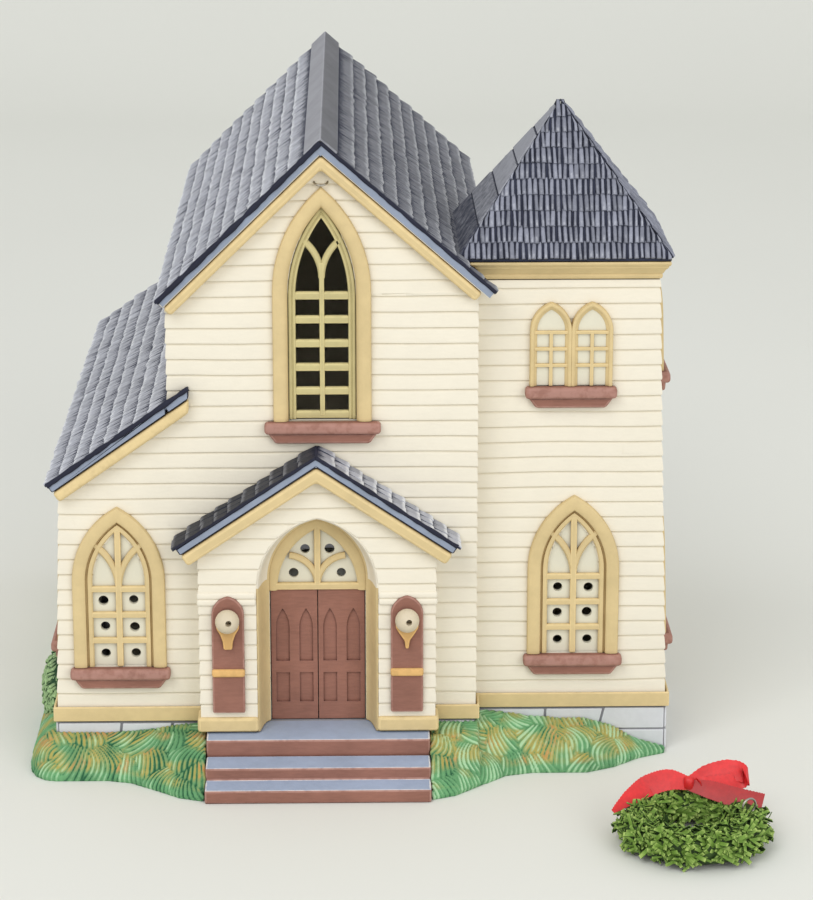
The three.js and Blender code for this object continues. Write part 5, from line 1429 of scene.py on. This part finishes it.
class CHURCH_OT_lanterns(bpy.types.Operator):
    """Maroon plaques with a globe on a bracket"""
    bl_idname = "church.lanterns"
    bl_label = "Lanterns"

    def execute(self, context):
        self.lantern("left", 1.3)
        self.lantern("right", 0.5)
        return {"FINISHED"}

    def lantern(self, name, tip):
        """One lantern. The tip is half the width of its bracket's point, in millimetres."""
        x, _, foot, top = face_of("lantern_plaque_" + name)
        place = shifted(x, PORCH_FRONT)
        plate = outlined("plaque_" + name, arch_outline(0, 5 * MM, foot, top, 6 * MM), "front", -1.8 * MM, 0)
        bevelled(plate, 0.5 * MM, 2, 40)
        ready(placed(smooth(plate), place), "sill", "maroon", "lantern_plaque_" + name)
        band = rounded_box("plaque_band_" + name, (-5.1 * MM, -2.7 * MM, foot + 12 * MM),
                           (5.1 * MM, 0, foot + 14.6 * MM), 0.8 * MM, 3)
        ready(placed(smooth(band), place), "sill", "gold")
        radius = 3.7 * MM
        globe_z = high("lantern_" + name).z - radius
        globe = placed(added("globe_" + name, bpy.ops.mesh.primitive_uv_sphere_add, segments=40,
                             ring_count=24, radius=radius, location=(0, -5.2 * MM, globe_z)))
        cut_away(globe, [placed(added("drill", bpy.ops.mesh.primitive_cylinder_add, vertices=20,
                                      radius=0.95 * MM, depth=6 * MM, rotation=(math.pi / 2, 0, 0),
                                      location=(0.5 * MM, -8.4 * MM, globe_z + 0.5 * MM)))])
        ready(placed(smooth(globe, 40), place), "pane", "globe", "lantern_" + name)
        half = [(3.5, -1.2), (3.5, -3.0), (2.3, -5.0), (tip + 0.3, -7.2), (tip, -9.8)]
        outline = [(side * x * MM, globe_z + z * MM) for side, points in ((-1, half), (1, reversed(half)))
                   for x, z in points]
        bracket = outlined("bracket_" + name, outline, "front", -3.6 * MM, -1.6 * MM)
        bevelled(bracket, 0.5 * MM, 2, 20)
        ready(placed(smooth(bracket, 50), place), "pane", "gold")


# Base

class CHURCH_OT_base(bpy.types.Operator):
    """Foundation stones, the floor, the landing and the steps"""
    bl_idname = "church.base"
    bl_label = "Base"

    def execute(self, context):
        softened("foundation", "stone", "joint", 0.3 * MM, 1)
        softened("base_floor", "floor", "bisque", 0.3 * MM, 1)
        for node in ("landing", "steps"):
            piece = softened(node, "tread", "maroon", 0.55 * MM, 3)
            second_finish(piece, "tread", lambda face: face.normal.z > 0.7)
        right, rear, left = math.pi / 2, math.pi, -math.pi / 2
        runs = (
            (0, AISLE_SIDE, low("landing").x, FRONT), (0, high("landing").x, NAVE_SIDE, FRONT),
            (0, NAVE_SIDE, TOWER_SIDE, TOWER_FRONT), (right, TOWER_FRONT, TOWER_REAR, TOWER_SIDE),
            (right, TOWER_REAR, REAR, NAVE_SIDE), (left, -AISLE_REAR, -FRONT, AISLE_SIDE),
            (rear, -NAVE_SIDE, -REAR_OPENING_HALF, REAR), (rear, REAR_OPENING_HALF, NAVE_SIDE, REAR),
            (rear, NAVE_SIDE, -AISLE_SIDE, AISLE_REAR), (rear, -TOWER_SIDE, -NAVE_SIDE, TOWER_REAR),
        )
        stones = []
        for turn, start, end, wall in runs:
            shift = shifted(0, wall) if turn in (0, rear) else shifted(wall, 0)
            place = shift @ Matrix.Rotation(turn, 4, "Z")
            for z0, z1 in ((0.2 * MM, STONE_TOP * 0.5), (STONE_TOP * 0.5, STONE_TOP - 0.1 * MM)):
                stones += [placed(stone, place) for stone in self.course(start, end, z0, z1)]
        ready(smooth(merged(stones, "foundation_stones"), 40), "stone", "stone")
        return {"FINISHED"}

    def course(self, start, end, z0, z1):
        """Stones of random width with slanted joints between two ends of a wall."""
        stones = []
        joint = 0.35 * MM
        x, lean = start, 0.0
        while x < end - 4 * MM:
            following = x + random.uniform(12, 24) * MM
            following = end if following > end - 6 * MM else following
            next_lean = random.uniform(-1.6, 1.6) * MM if following < end else 0.0
            foot, top = z0 + joint / 2, z1 - joint / 2 + random.uniform(-0.5, 0) * MM
            outline = [(x + lean + joint, foot), (following + next_lean - joint, foot),
                       (following - next_lean - joint, top), (x - lean + joint, top)]
            stone = outlined("stone", outline, "front", random.uniform(-0.7, -0.4) * MM, 0.6 * MM)
            stones.append(bevelled(stone, 0.4 * MM))
            x, lean = following, next_lean
        return stones


# Grass and bush

def scattered(table, allowed, cell):
    """Points out of the table that lie more than a cell apart."""
    order = np.flatnonzero(allowed)
    np.random.default_rng(11).shuffle(order)
    seeds = []
    taken = {}
    for i in order:
        key = tuple(np.floor(table[i] / cell).astype(int))
        near = [s for dx in (-1, 0, 1) for dy in (-1, 0, 1) for dz in (-1, 0, 1)
                for s in taken.get((key[0] + dx, key[1] + dy, key[2] + dz), ())]
        if all(np.linalg.norm(table[i] - table[s]) > cell for s in near):
            taken.setdefault(key, []).append(i)
            seeds.append(i)
    return seeds


def grass_field(piece, pale, depth, stroke):
    """Carves swirling strokes into a bank, marks their crests and grooves for painted highlights and painted
    shade, and marks the warm brushing.
    """
    table = points_of(piece)
    normals = normals_of(piece)
    outer = (normals[:, 2] > 0.12) & (table[:, 2] > 0.9 * MM)
    seeds = scattered(table, outer, 8.0 * MM)
    places = table[seeds]
    rng = np.random.default_rng(5)
    turn = rng.uniform(-0.6, 0.6, len(seeds))
    bend = rng.uniform(-0.09, 0.09, len(seeds)) / MM
    warmth = (rng.random(len(seeds)) < 0.62) * rng.uniform(0.6, 1.0, len(seeds))
    lift = rng.uniform(-0.2, 0.3, len(seeds))
    tone = np.full(len(table), 0.4)
    warm = np.zeros(len(table))
    move = np.zeros(len(table))
    top_of = table[:, 2].max()
    downhill = np.array([0, 0, -1.0])
    at_once = 4000
    for begin in range(0, len(table), at_once):
        part = slice(begin, begin + at_once)
        # The two nearest tufts of each point, nearest first
        gap = np.linalg.norm(table[part, None, :] - places[None, :, :], axis=2)
        first = np.argpartition(gap, 1, axis=1)[:, :2]
        pair = np.take_along_axis(gap, first, 1)
        swap = pair[:, 0] > pair[:, 1]
        first[swap] = first[swap][:, ::-1]
        pair.sort(axis=1)
        near = first[:, 0]
        # Along and across the tuft's own strokes, which fan out and bend
        normal = normals[seeds][near]
        down = downhill - normal * (normal @ downhill)[:, None]
        down += np.array([0, -0.15, 0])
        down /= np.linalg.norm(down, axis=1)[:, None] + 1e-9
        side = np.cross(normal, down)
        offset = table[part] - places[near]
        a = np.einsum("ij,ij->i", offset, down)
        b = np.einsum("ij,ij->i", offset, side)
        c, s = np.cos(turn[near]), np.sin(turn[near])
        along, across = a * c + b * s, -a * s + b * c
        across = (across + bend[near] * along ** 2) / (1 + 0.07 * np.clip(along / MM + 4, 0, 9))
        phase = across / stroke + 40 + near * 0.37
        blade = np.abs(np.sin(np.floor(phase) * 12.9898 + near * 78.233) * 43758.5) % 1
        ridge = 1 - np.abs(2 * (phase - np.floor(phase)) - 1) ** 2.2
        border = np.clip((pair[:, 1] - pair[:, 0]) / (1.3 * MM), 0, 1)
        dome = 1 - np.clip(pair[:, 0] / (5.5 * MM), 0, 1) ** 2
        move[part] = (0.75 * ridge + 0.16 * dome + 0.14 * border + 0.5 * lift[near] - 0.5) * depth
        shade = np.array([wander(x + 0.3, y - z, 5 * MM, 6.1) for x, y, z in table[part]])
        # Tone: the crests are painted pale as highlights, stronger on some strokes, the grooves dark as
        # shade, with a random drift from the noise
        crest = (0.5 + 0.4 * blade ** 3) * ridge ** 1.4
        tone[part] = np.clip(0.12 + pale + crest * (0.6 + 0.4 * border) + 0.08 * dome + 0.34 * shade, 0, 1.1)
        height = table[part, 2]
        middle = np.clip((height - 2.2 * MM) / (1.5 * MM), 0, 1)
        middle *= np.clip((top_of - height) / (1.2 * MM), 0, 1)
        patch = np.array([wander(x, y + z, 7 * MM, 2.2) for x, y, z in table[part]])
        brushed = np.where(blade < 0.62, 1.0, 0.5) * (0.35 + 0.65 * ridge)
        warm[part] = np.clip((patch * 2.6 + 0.7 + 0.3 * warmth[near]) * brushed, 0, 1) * middle
    calm = np.clip(table[:, 2] / (1.2 * MM), 0, 1) * outer
    move_points(piece, table + normals * (move * calm)[:, None])
    attribute(piece, "tone", tone)
    attribute(piece, "warm", warm)


class CHURCH_OT_grass(bpy.types.Operator):
    """Sculpted grass banks and the bush on the left side"""
    bl_idname = "church.grass"
    bl_label = "Grass"

    def execute(self, context):
        sizes = context.scene.church_sizes
        for node, pale in (("grass_bank_left", -0.02), ("grass_bank_right", 0.15)):
            bank = cast_copy(node, node + "_tufts")
            modified(bank, "REMESH", mode="VOXEL", voxel_size=0.45 * MM)
            modified(bank, "SMOOTH", factor=0.5, iterations=3)
            grass_field(bank, pale, sizes.grass_depth, sizes.grass_stroke)
            ready(smooth(bank, 180), "grass", "grass", node)
        self.bush()
        return {"FINISHED"}

    def bush(self):
        """A rounded core with leaves strewn over the side that shows."""
        core = modified(cast_copy("side_bush", "bush_core"), "REMESH", mode="VOXEL", voxel_size=0.7 * MM)
        wall = high("side_bush").x
        table = points_of(core)
        normals = normals_of(core)
        # The core is painted dark, as the shade inside the bush
        attribute(core, "tone", np.full(len(table), 0.12))
        tried, kept = 1500, 700
        places = []
        for i in np.random.default_rng(3).permutation(len(table))[:tried]:
            point, normal = Vector(table[i]), Vector(normals[i])
            if normal.x > 0.3 or normal.z < -0.5 or point.x > wall - 0.6 * MM:
                continue
            up = (Vector((0, 0, 1)) - normal * normal.z).normalized()
            up = Matrix.Rotation(random.uniform(-0.9, 0.9), 3, normal) @ up
            tilt = (normal + up * random.uniform(-0.5, 0.1)).normalized()
            along = up.cross(tilt).normalized()
            place = Matrix.Translation(point - normal * 0.1 * MM) @ turned_to(along, tilt.cross(along), tilt)
            places.append(place @ Matrix.Scale(random.uniform(0.7, 1.15), 4))
        leaves = copied(slate_master("leaf", 1.5 * MM, 2.6 * MM, 0.6 * MM), places[:kept], "bush_leaves")
        ready(core, "bush", "bush", "side_bush")
        ready(leaves, "bush", "bush")


# Wreath

RING = 16.5 * MM
TUBE = 4.9 * MM


def ribbon(name, path, widths, ups):
    """A strip of woven ribbon along a smooth path, with a finely toothed edge."""
    steps, last = 60, len(path) - 1
    piece = added(name, bpy.ops.mesh.primitive_grid_add, x_subdivisions=6, y_subdivisions=steps, size=1)
    table = points_of(piece)
    for row in table:
        share_along = min(0.9999, max(0.0, row[1] + 0.5)) * last
        i, t = int(share_along), share_along - int(share_along)
        before, here = path[max(0, i - 1)], path[i]
        there, after = path[min(last, i + 1)], path[min(last, i + 2)]
        point = 0.5 * (2 * here + (there - before) * t + (2 * before - 5 * here + 4 * there - after) * t * t +
                       (3 * here - before - 3 * there + after) * t ** 3)
        direction = (there - here) + (after - before) * 0.25
        up = Vector(ups[i]).lerp(Vector(ups[min(last, i + 1)]), t)
        width = widths[i] + (widths[min(last, i + 1)] - widths[i]) * t
        across = direction.cross(up).normalized()
        up = across.cross(direction).normalized()
        tooth = 0.18 * MM if round((row[1] + 0.5) * steps) % 2 and abs(row[0]) > 0.49 else 0.0
        reach = row[0] * width * MM + (tooth if row[0] > 0 else -tooth)
        cup = 0.5 * MM * (0.25 - row[0] ** 2)
        row[:] = point + across * reach + up * cup
    move_points(piece, table)
    modified(piece, "SOLIDIFY", thickness=0.28 * MM, offset=0)
    return smooth(piece, 50)


def wire_ring(name, node, radius, wire, turn, place, body):
    ring = added(name, bpy.ops.mesh.primitive_torus_add, major_segments=36, minor_segments=10,
                 major_radius=radius, minor_radius=wire, rotation=turn, location=place)
    ready(smooth(placed(ring), 60), "wire", "wire", node, body=body)


class CHURCH_OT_wreath(bpy.types.Operator):
    """Chopped sprigs on a ring, the red ribbon and the wires"""
    bl_idname = "church.wreath"
    bl_label = "Wreath"

    def execute(self, context):
        middle = Vector((*middle_of("wreath_ring"), 0))
        tall = high("wreath_ring").z
        knot_y = middle_of("wreath_bow")[1] - middle_of("wreath_ring")[1]
        knot_z = tall + 0.6 * MM
        self.core(middle, tall)
        self.sprigs(middle, tall, knot_y, knot_z)
        self.bow(middle, knot_y, knot_z)
        wire_ring("hook_loop", "wreath_hook", 2.3 * MM, 0.35 * MM, (math.pi / 2, 0, 0.5),
                  (*middle_of("wreath_hook"), tall + 0.6 * MM), "wreath")
        corner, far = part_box("wreath_eye")
        wire_ring("eye_loop", "wreath_eye", 2.1 * MM, 0.32 * MM, (0.5, 0, 0),
                  (0, far.y + 0.2 * MM, corner.z + 0.7 * MM), "house")
        return {"FINISHED"}

    def core(self, middle, tall):
        core = placed(added("wreath_core", bpy.ops.mesh.primitive_torus_add, major_segments=64,
                            minor_segments=16, major_radius=RING, minor_radius=TUBE,
                            location=(0, 0, tall * 0.47)))
        table = points_of(core)
        foot = low("wreath_ring").z
        for row in table:
            row[:2] *= 1 + 0.02 * wander(math.atan2(row[1], row[0]) * 3, 0, 1)
            row[2] = 0.4 * MM + (row[2] - foot) * 0.96
        table[:, 2] = np.maximum(table[:, 2], 0.2 * MM)
        move_points(core, table)
        # The core is painted dark, as the shade inside the wreath
        attribute(core, "tone", np.full(len(table), 0.1))
        placed(core, Matrix.Translation(middle))
        ready(smooth(core, 60), "sprig", "sprig", "wreath_ring", body="wreath")

    def sprigs(self, middle, tall, knot_y, knot_z):
        """Sprigs that stand off the ring every way, but not through the ribbon or the table."""
        sizes = bpy.context.scene.church_sizes
        # Each sprig is painted dark at its sides as shade, and paler along its middle towards the tip as
        # highlight
        sprig = slate_master("sprig", sizes.sprig_width, sizes.sprig_length, 0.22 * MM, 0.4,
                             (0.5, 0.7, 0.8, 0.9))
        places = []
        for _ in range(sizes.sprig_count):
            around, about = random.uniform(0, math.tau), random.uniform(-0.6, math.pi + 0.6)
            outward = Vector((math.cos(around), math.sin(around), 0))
            tangent = Vector((-outward.y, outward.x, 0))
            normal = outward * math.cos(about) + Vector((0, 0, 1)) * math.sin(about)
            point = outward * RING + normal * (TUBE * random.uniform(0.72, 1.02))
            point.z = tall * 0.46 + normal.z * TUBE * random.uniform(0.7, 1.02)
            lean = Matrix.Rotation(random.gauss(0, 0.75), 3, normal)
            along = lean @ tangent * random.choice((-1, 1)) + normal * random.uniform(0.0, 0.75)
            along.normalize()
            side = along.cross(normal).normalized()
            grow = random.uniform(0.55, 1.15)
            place = (Matrix.Translation(middle + point) @ turned_to(side, -along, side.cross(along)) @
                     Matrix.Diagonal((grow, grow, 1, 1)))
            tip = place @ Vector((0, -sizes.sprig_length, 0))
            if min(tip.z, point.z) < 0.3 * MM or tip.z > tall + 1.5 * MM:
                continue
            if not any(self.under_ribbon(end, knot_y, knot_z) for end in (tip - middle, point)):
                places.append(place)
        ready(copied(sprig, places, "wreath_sprigs"), "sprig", "sprig", body="wreath")

    def under_ribbon(self, point, knot_y, knot_z):
        """Whether a sprig's end would come through the ribbon's two drooping ends."""
        for path in (((0, 0, 1.6), (-12.5, -1.4, 1.2), (-18, -4.6, -1.2), (-23.4, -8.4, -4)),
                     ((0, -0.4, 1.2), (6, -2, 0.2), (13, -4.4, -1.2), (21.4, -7, -2.4))):
            for (x0, y0, z0), (x1, y1, z1) in zip(path, path[1:]):
                along = min(1, max(0, (point.x / MM - x0) / (x1 - x0)))
                y = y0 + (y1 - y0) * along
                z = z0 + (z1 - z0) * along
                inside = min(x0, x1) - 0.5 <= point.x / MM <= max(x0, x1) + 0.5
                if inside and abs((point.y - knot_y) / MM - y) < 3.4 and (point.z - knot_z) / MM > z - 1.2:
                    return True
        return False

    def bow(self, middle, knot_y, knot_z):
        """Three strips from the knot: places and widths in millimetres, and the way each faces."""
        def at(x, y, z):
            return middle + Vector((x * MM, knot_y + y * MM, knot_z + z * MM))
        edge, slant, folded = (0, -0.9, 0.5), (-0.2, -0.75, 0.65), (0, 0.8, -0.6)
        strips = (
            ("ribbon_left", "ribbon", ((0, 0, 2), (-6, 0.6, 3.0), (-12.5, -1.4, 1.8), (-18, -4.6, -0.6),
                                       (-23.4, -8.4, -3.4)),
             (3.6, 6.2, 6.4, 4.8, 0.9), (edge, edge, edge, slant, slant)),
            ("ribbon_loop", "ribbon", ((0, 0, 2), (6, 2.6, 3.9), (13, 4, 4.6), (17.5, 3.2, 3.0),
                                       (14, 1.6, 1.8), (7, 0.4, 1.8), (0, 0, 2)),
             (3.2, 5.6, 6.2, 6.0, 5.4, 4.4, 2.6), (edge, edge, edge, (0.8, -0.4, 0.4), folded, folded, edge)),
            # The tail takes the darker ribbon_shade finish, painted shade
            ("ribbon_tail", "ribbon_shade", ((0, -0.4, 1.6), (6, -2, 0.8), (13, -4.4, -0.6),
                                             (21.4, -7, -1.6)),
             (2.8, 5.4, 6.0, 5.6), (edge, slant, slant, slant)),
        )
        for name, material, points, widths, ups in strips:
            path = [at(*point) for point in points]
            strip = ribbon(name, path, widths, ups)
            nodes = ("wreath_bow",) if name == "ribbon_left" else ()
            ready(strip, "ribbon", material, *nodes, body="wreath")
        centre = at(0, 0, 2.2)
        knot = added("ribbon_knot", bpy.ops.mesh.primitive_uv_sphere_add, segments=20, ring_count=12,
                     radius=1, location=centre)
        knot.scale = (1.7 * MM, 1.8 * MM, 2.4 * MM)
        placed(knot)
        table = points_of(knot)
        centre = np.array(centre)
        for row in table:
            row[:] = centre + (row - centre) * (1 + 0.16 * wander(row[0], row[2], 1.2 * MM, 5))
        move_points(knot, table)
        ready(smooth(knot, 60), "ribbon", "ribbon", body="wreath")


# Tealight

def lathed(name, profile, segments=96):
    """A turned piece from (radius, height) points, centred on the origin."""
    piece = loop_of(name, [(radius, 0, height) for radius, height in profile])
    bpy.ops.mesh.spin(steps=segments, angle=math.tau, center=(0, 0, 0), axis=(0, 0, 1))
    bpy.ops.mesh.select_all(action="SELECT")
    bpy.ops.mesh.remove_doubles(threshold=DOUBLE_SLACK)
    faced_out()
    shaped()
    return piece


class CHURCH_OT_tealight(bpy.types.Operator):
    """Fluted cup, wax with a hollow round the wick, and the wick"""
    bl_idname = "church.tealight"
    bl_label = "Tealight"

    def execute(self, context):
        corner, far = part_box("tealight_cup")
        place = shifted(*middle_of("tealight_cup"), corner.z)
        self.cup(place, (far.x - corner.x) / 2, far.z - corner.z)
        outer, top = face_of("tealight_wax")[1], high("tealight_wax").z - corner.z
        hole = 0.9 * MM
        wax = lathed("wax_fill", [(hole, 0.8 * MM), (outer, 0.8 * MM), (outer, top - 0.1 * MM),
                                  (outer - 0.5 * MM, top - 0.5 * MM), (outer - 2 * MM, top - 0.7 * MM),
                                  (7 * MM, top - 0.8 * MM), (3 * MM, top - 0.7 * MM), (hole, top - 0.1 * MM)])
        ready(placed(smooth(wax, 50), place), "wax", "wax", "tealight_wax", body="tealight")
        self.wick(place, high("tealight_wick").z - corner.z)
        return {"FINISHED"}

    def cup(self, place, radius, tall):
        skin_top, flutes = 0.35 * MM + 0.2 * MM, 36
        outside = [(1 * MM, 0), (radius - 1.4 * MM, 0), (radius - 0.7 * MM, 0.5 * MM),
                   (radius - 0.6 * MM, tall - 1.2 * MM), (radius - 0.2 * MM, tall - 0.7 * MM)]
        lip = [(radius, tall - 0.3 * MM), (radius - 0.25 * MM, tall), (radius - 0.8 * MM, tall - 0.3 * MM)]
        inside = [(radius - MM, tall - MM), (radius - MM, 0.9 * MM), (radius - 1.8 * MM, skin_top),
                  (1 * MM, skin_top)]
        cup = lathed("cup_fluted", outside + lip + inside, 4 * flutes)
        table = points_of(cup)
        for row in table:
            if 0.4 * MM < row[2] < tall - MM and math.hypot(row[0], row[1]) > radius - 1.5 * MM:
                row[:2] *= 1 + 0.008 * math.cos(flutes * math.atan2(row[1], row[0]))
        move_points(cup, table)
        ready(placed(smooth(cup, 60), place), "cup", "cup", "tealight_cup", body="tealight")

    def wick(self, place, top):
        thin, radius, rings = 0.01 * MM, 0.65 * MM, 24
        wick = lathed("wick_braided", [(thin, MM), (radius, MM), (radius, top - 0.2 * MM), (0.4 * MM, top),
                                       (thin, top)], 16)
        shape(wick)
        for i in range(1, rings):
            cut((0, 0, MM + (top - MM) * i / rings), (0, 0, 1))
        shaped()
        table = points_of(wick)
        for row in table:
            row[:2] *= 1 + 0.12 * math.cos(3 * math.atan2(row[1], row[0]) + row[2] / (0.35 * MM))
        move_points(wick, table)
        ready(placed(smooth(wick, 60), place), "wick", "wick", "tealight_wick", body="tealight")


# Stage

class CHURCH_OT_stage(bpy.types.Operator):
    """Floor, backdrop, lamps and camera"""
    bl_idname = "church.stage"
    bl_label = "Stage"

    def execute(self, context):
        scene = context.scene
        scene.view_settings.view_transform = "Standard"
        self.floor(scene.church_paints.floor)
        world = bpy.data.worlds.new("studio")
        scene.world = world
        world.use_nodes = True
        background = world.node_tree.nodes["Background"]
        background.inputs["Color"].default_value = (1.0, 1.0, 1.0, 1.0)
        background.inputs["Strength"].default_value = SKY_LIGHT
        for name, (place, power) in LAMPS.items():
            self.lamp(name, place, power)
        camera = bpy.data.objects.new("camera", bpy.data.cameras.new("camera"))
        scene.collection.objects.link(camera)
        camera.location = CAMERA_PLACE
        camera.rotation_euler = CAMERA_TURN
        camera.data.lens = CAMERA_LENS
        camera.data.sensor_width = 36
        scene.camera = camera
        return {"FINISHED"}

    def floor(self, grey):
        """A floor whose far edge is pulled up into the backdrop, with a wide curve between them."""
        floor = added("floor", bpy.ops.mesh.primitive_plane_add, size=3, location=(0, 0.2, 0))
        shape(floor)
        pick(floor, "EDGE", lambda edge: all(v.co.y > 1 for v in edge.verts))
        pulled((0, 0, 1.6))
        pick(floor, "EDGE", lambda edge: all(v.co.y > 1 and abs(v.co.z) < 0.01 for v in edge.verts))
        bpy.ops.mesh.bevel(offset=0.6, segments=16, affect="EDGES")
        shaped()
        smooth(placed(floor), 60)
        look = Finish("studio_floor", 0.9, 0.1)
        look.set("Base Color", look.mixed(look.noise(3, 2, 0.5), varied(grey, 0.98), varied(grey, 1.02)))
        floor.data.materials.append(look.material)

    def lamp(self, name, place, power):
        data = bpy.data.lights.new(name, "AREA")
        data.shape = "SQUARE"
        data.size = LAMP_SIZE
        data.energy = power
        lamp = bpy.data.objects.new(name, data)
        bpy.context.scene.collection.objects.link(lamp)
        lamp.location = place
        aim = Vector((0, 0, 0.08)) - Vector(place)
        lamp.rotation_euler = aim.to_track_quat("-Z", "Y").to_euler()


OPERATORS = (
    CHURCH_OT_walls,
    CHURCH_OT_nave_roof,
    CHURCH_OT_aisle_roof,
    CHURCH_OT_tower_roof,
    CHURCH_OT_porch_roof,
    CHURCH_OT_verges,
    CHURCH_OT_windows,
    CHURCH_OT_trim,
    CHURCH_OT_door,
    CHURCH_OT_lanterns,
    CHURCH_OT_base,
    CHURCH_OT_grass,
    CHURCH_OT_wreath,
    CHURCH_OT_tealight,
    CHURCH_OT_stage,
)


class CHURCH_PT_panel(bpy.types.Panel):
    """Every step that makes the church, in order"""
    bl_idname = "CHURCH_PT_panel"
    bl_label = "Village church"
    bl_space_type = "VIEW_3D"
    bl_region_type = "UI"
    bl_category = "Church"

    def draw(self, context):
        for operator in OPERATORS:
            self.layout.operator(operator.bl_idname)
        for group in (context.scene.church_sizes, context.scene.church_paints):
            for name in group.__annotations__:
                self.layout.prop(group, name)


CLASSES = (ChurchSizes, ChurchPaints, *OPERATORS, CHURCH_PT_panel)


def register():
    for cls in CLASSES:
        bpy.utils.register_class(cls)
    bpy.types.Scene.church_sizes = PointerProperty(type=ChurchSizes)
    bpy.types.Scene.church_paints = PointerProperty(type=ChurchPaints)


def unregister():
    del bpy.types.Scene.church_paints
    del bpy.types.Scene.church_sizes
    for cls in reversed(CLASSES):
        bpy.utils.unregister_class(cls)


def main():
    random.seed(7)
    register()
    for operator in OPERATORS:
        category, name = operator.bl_idname.split(".")
        getattr(getattr(bpy.ops, category), name)()


if __name__ == "__main__":
    main()
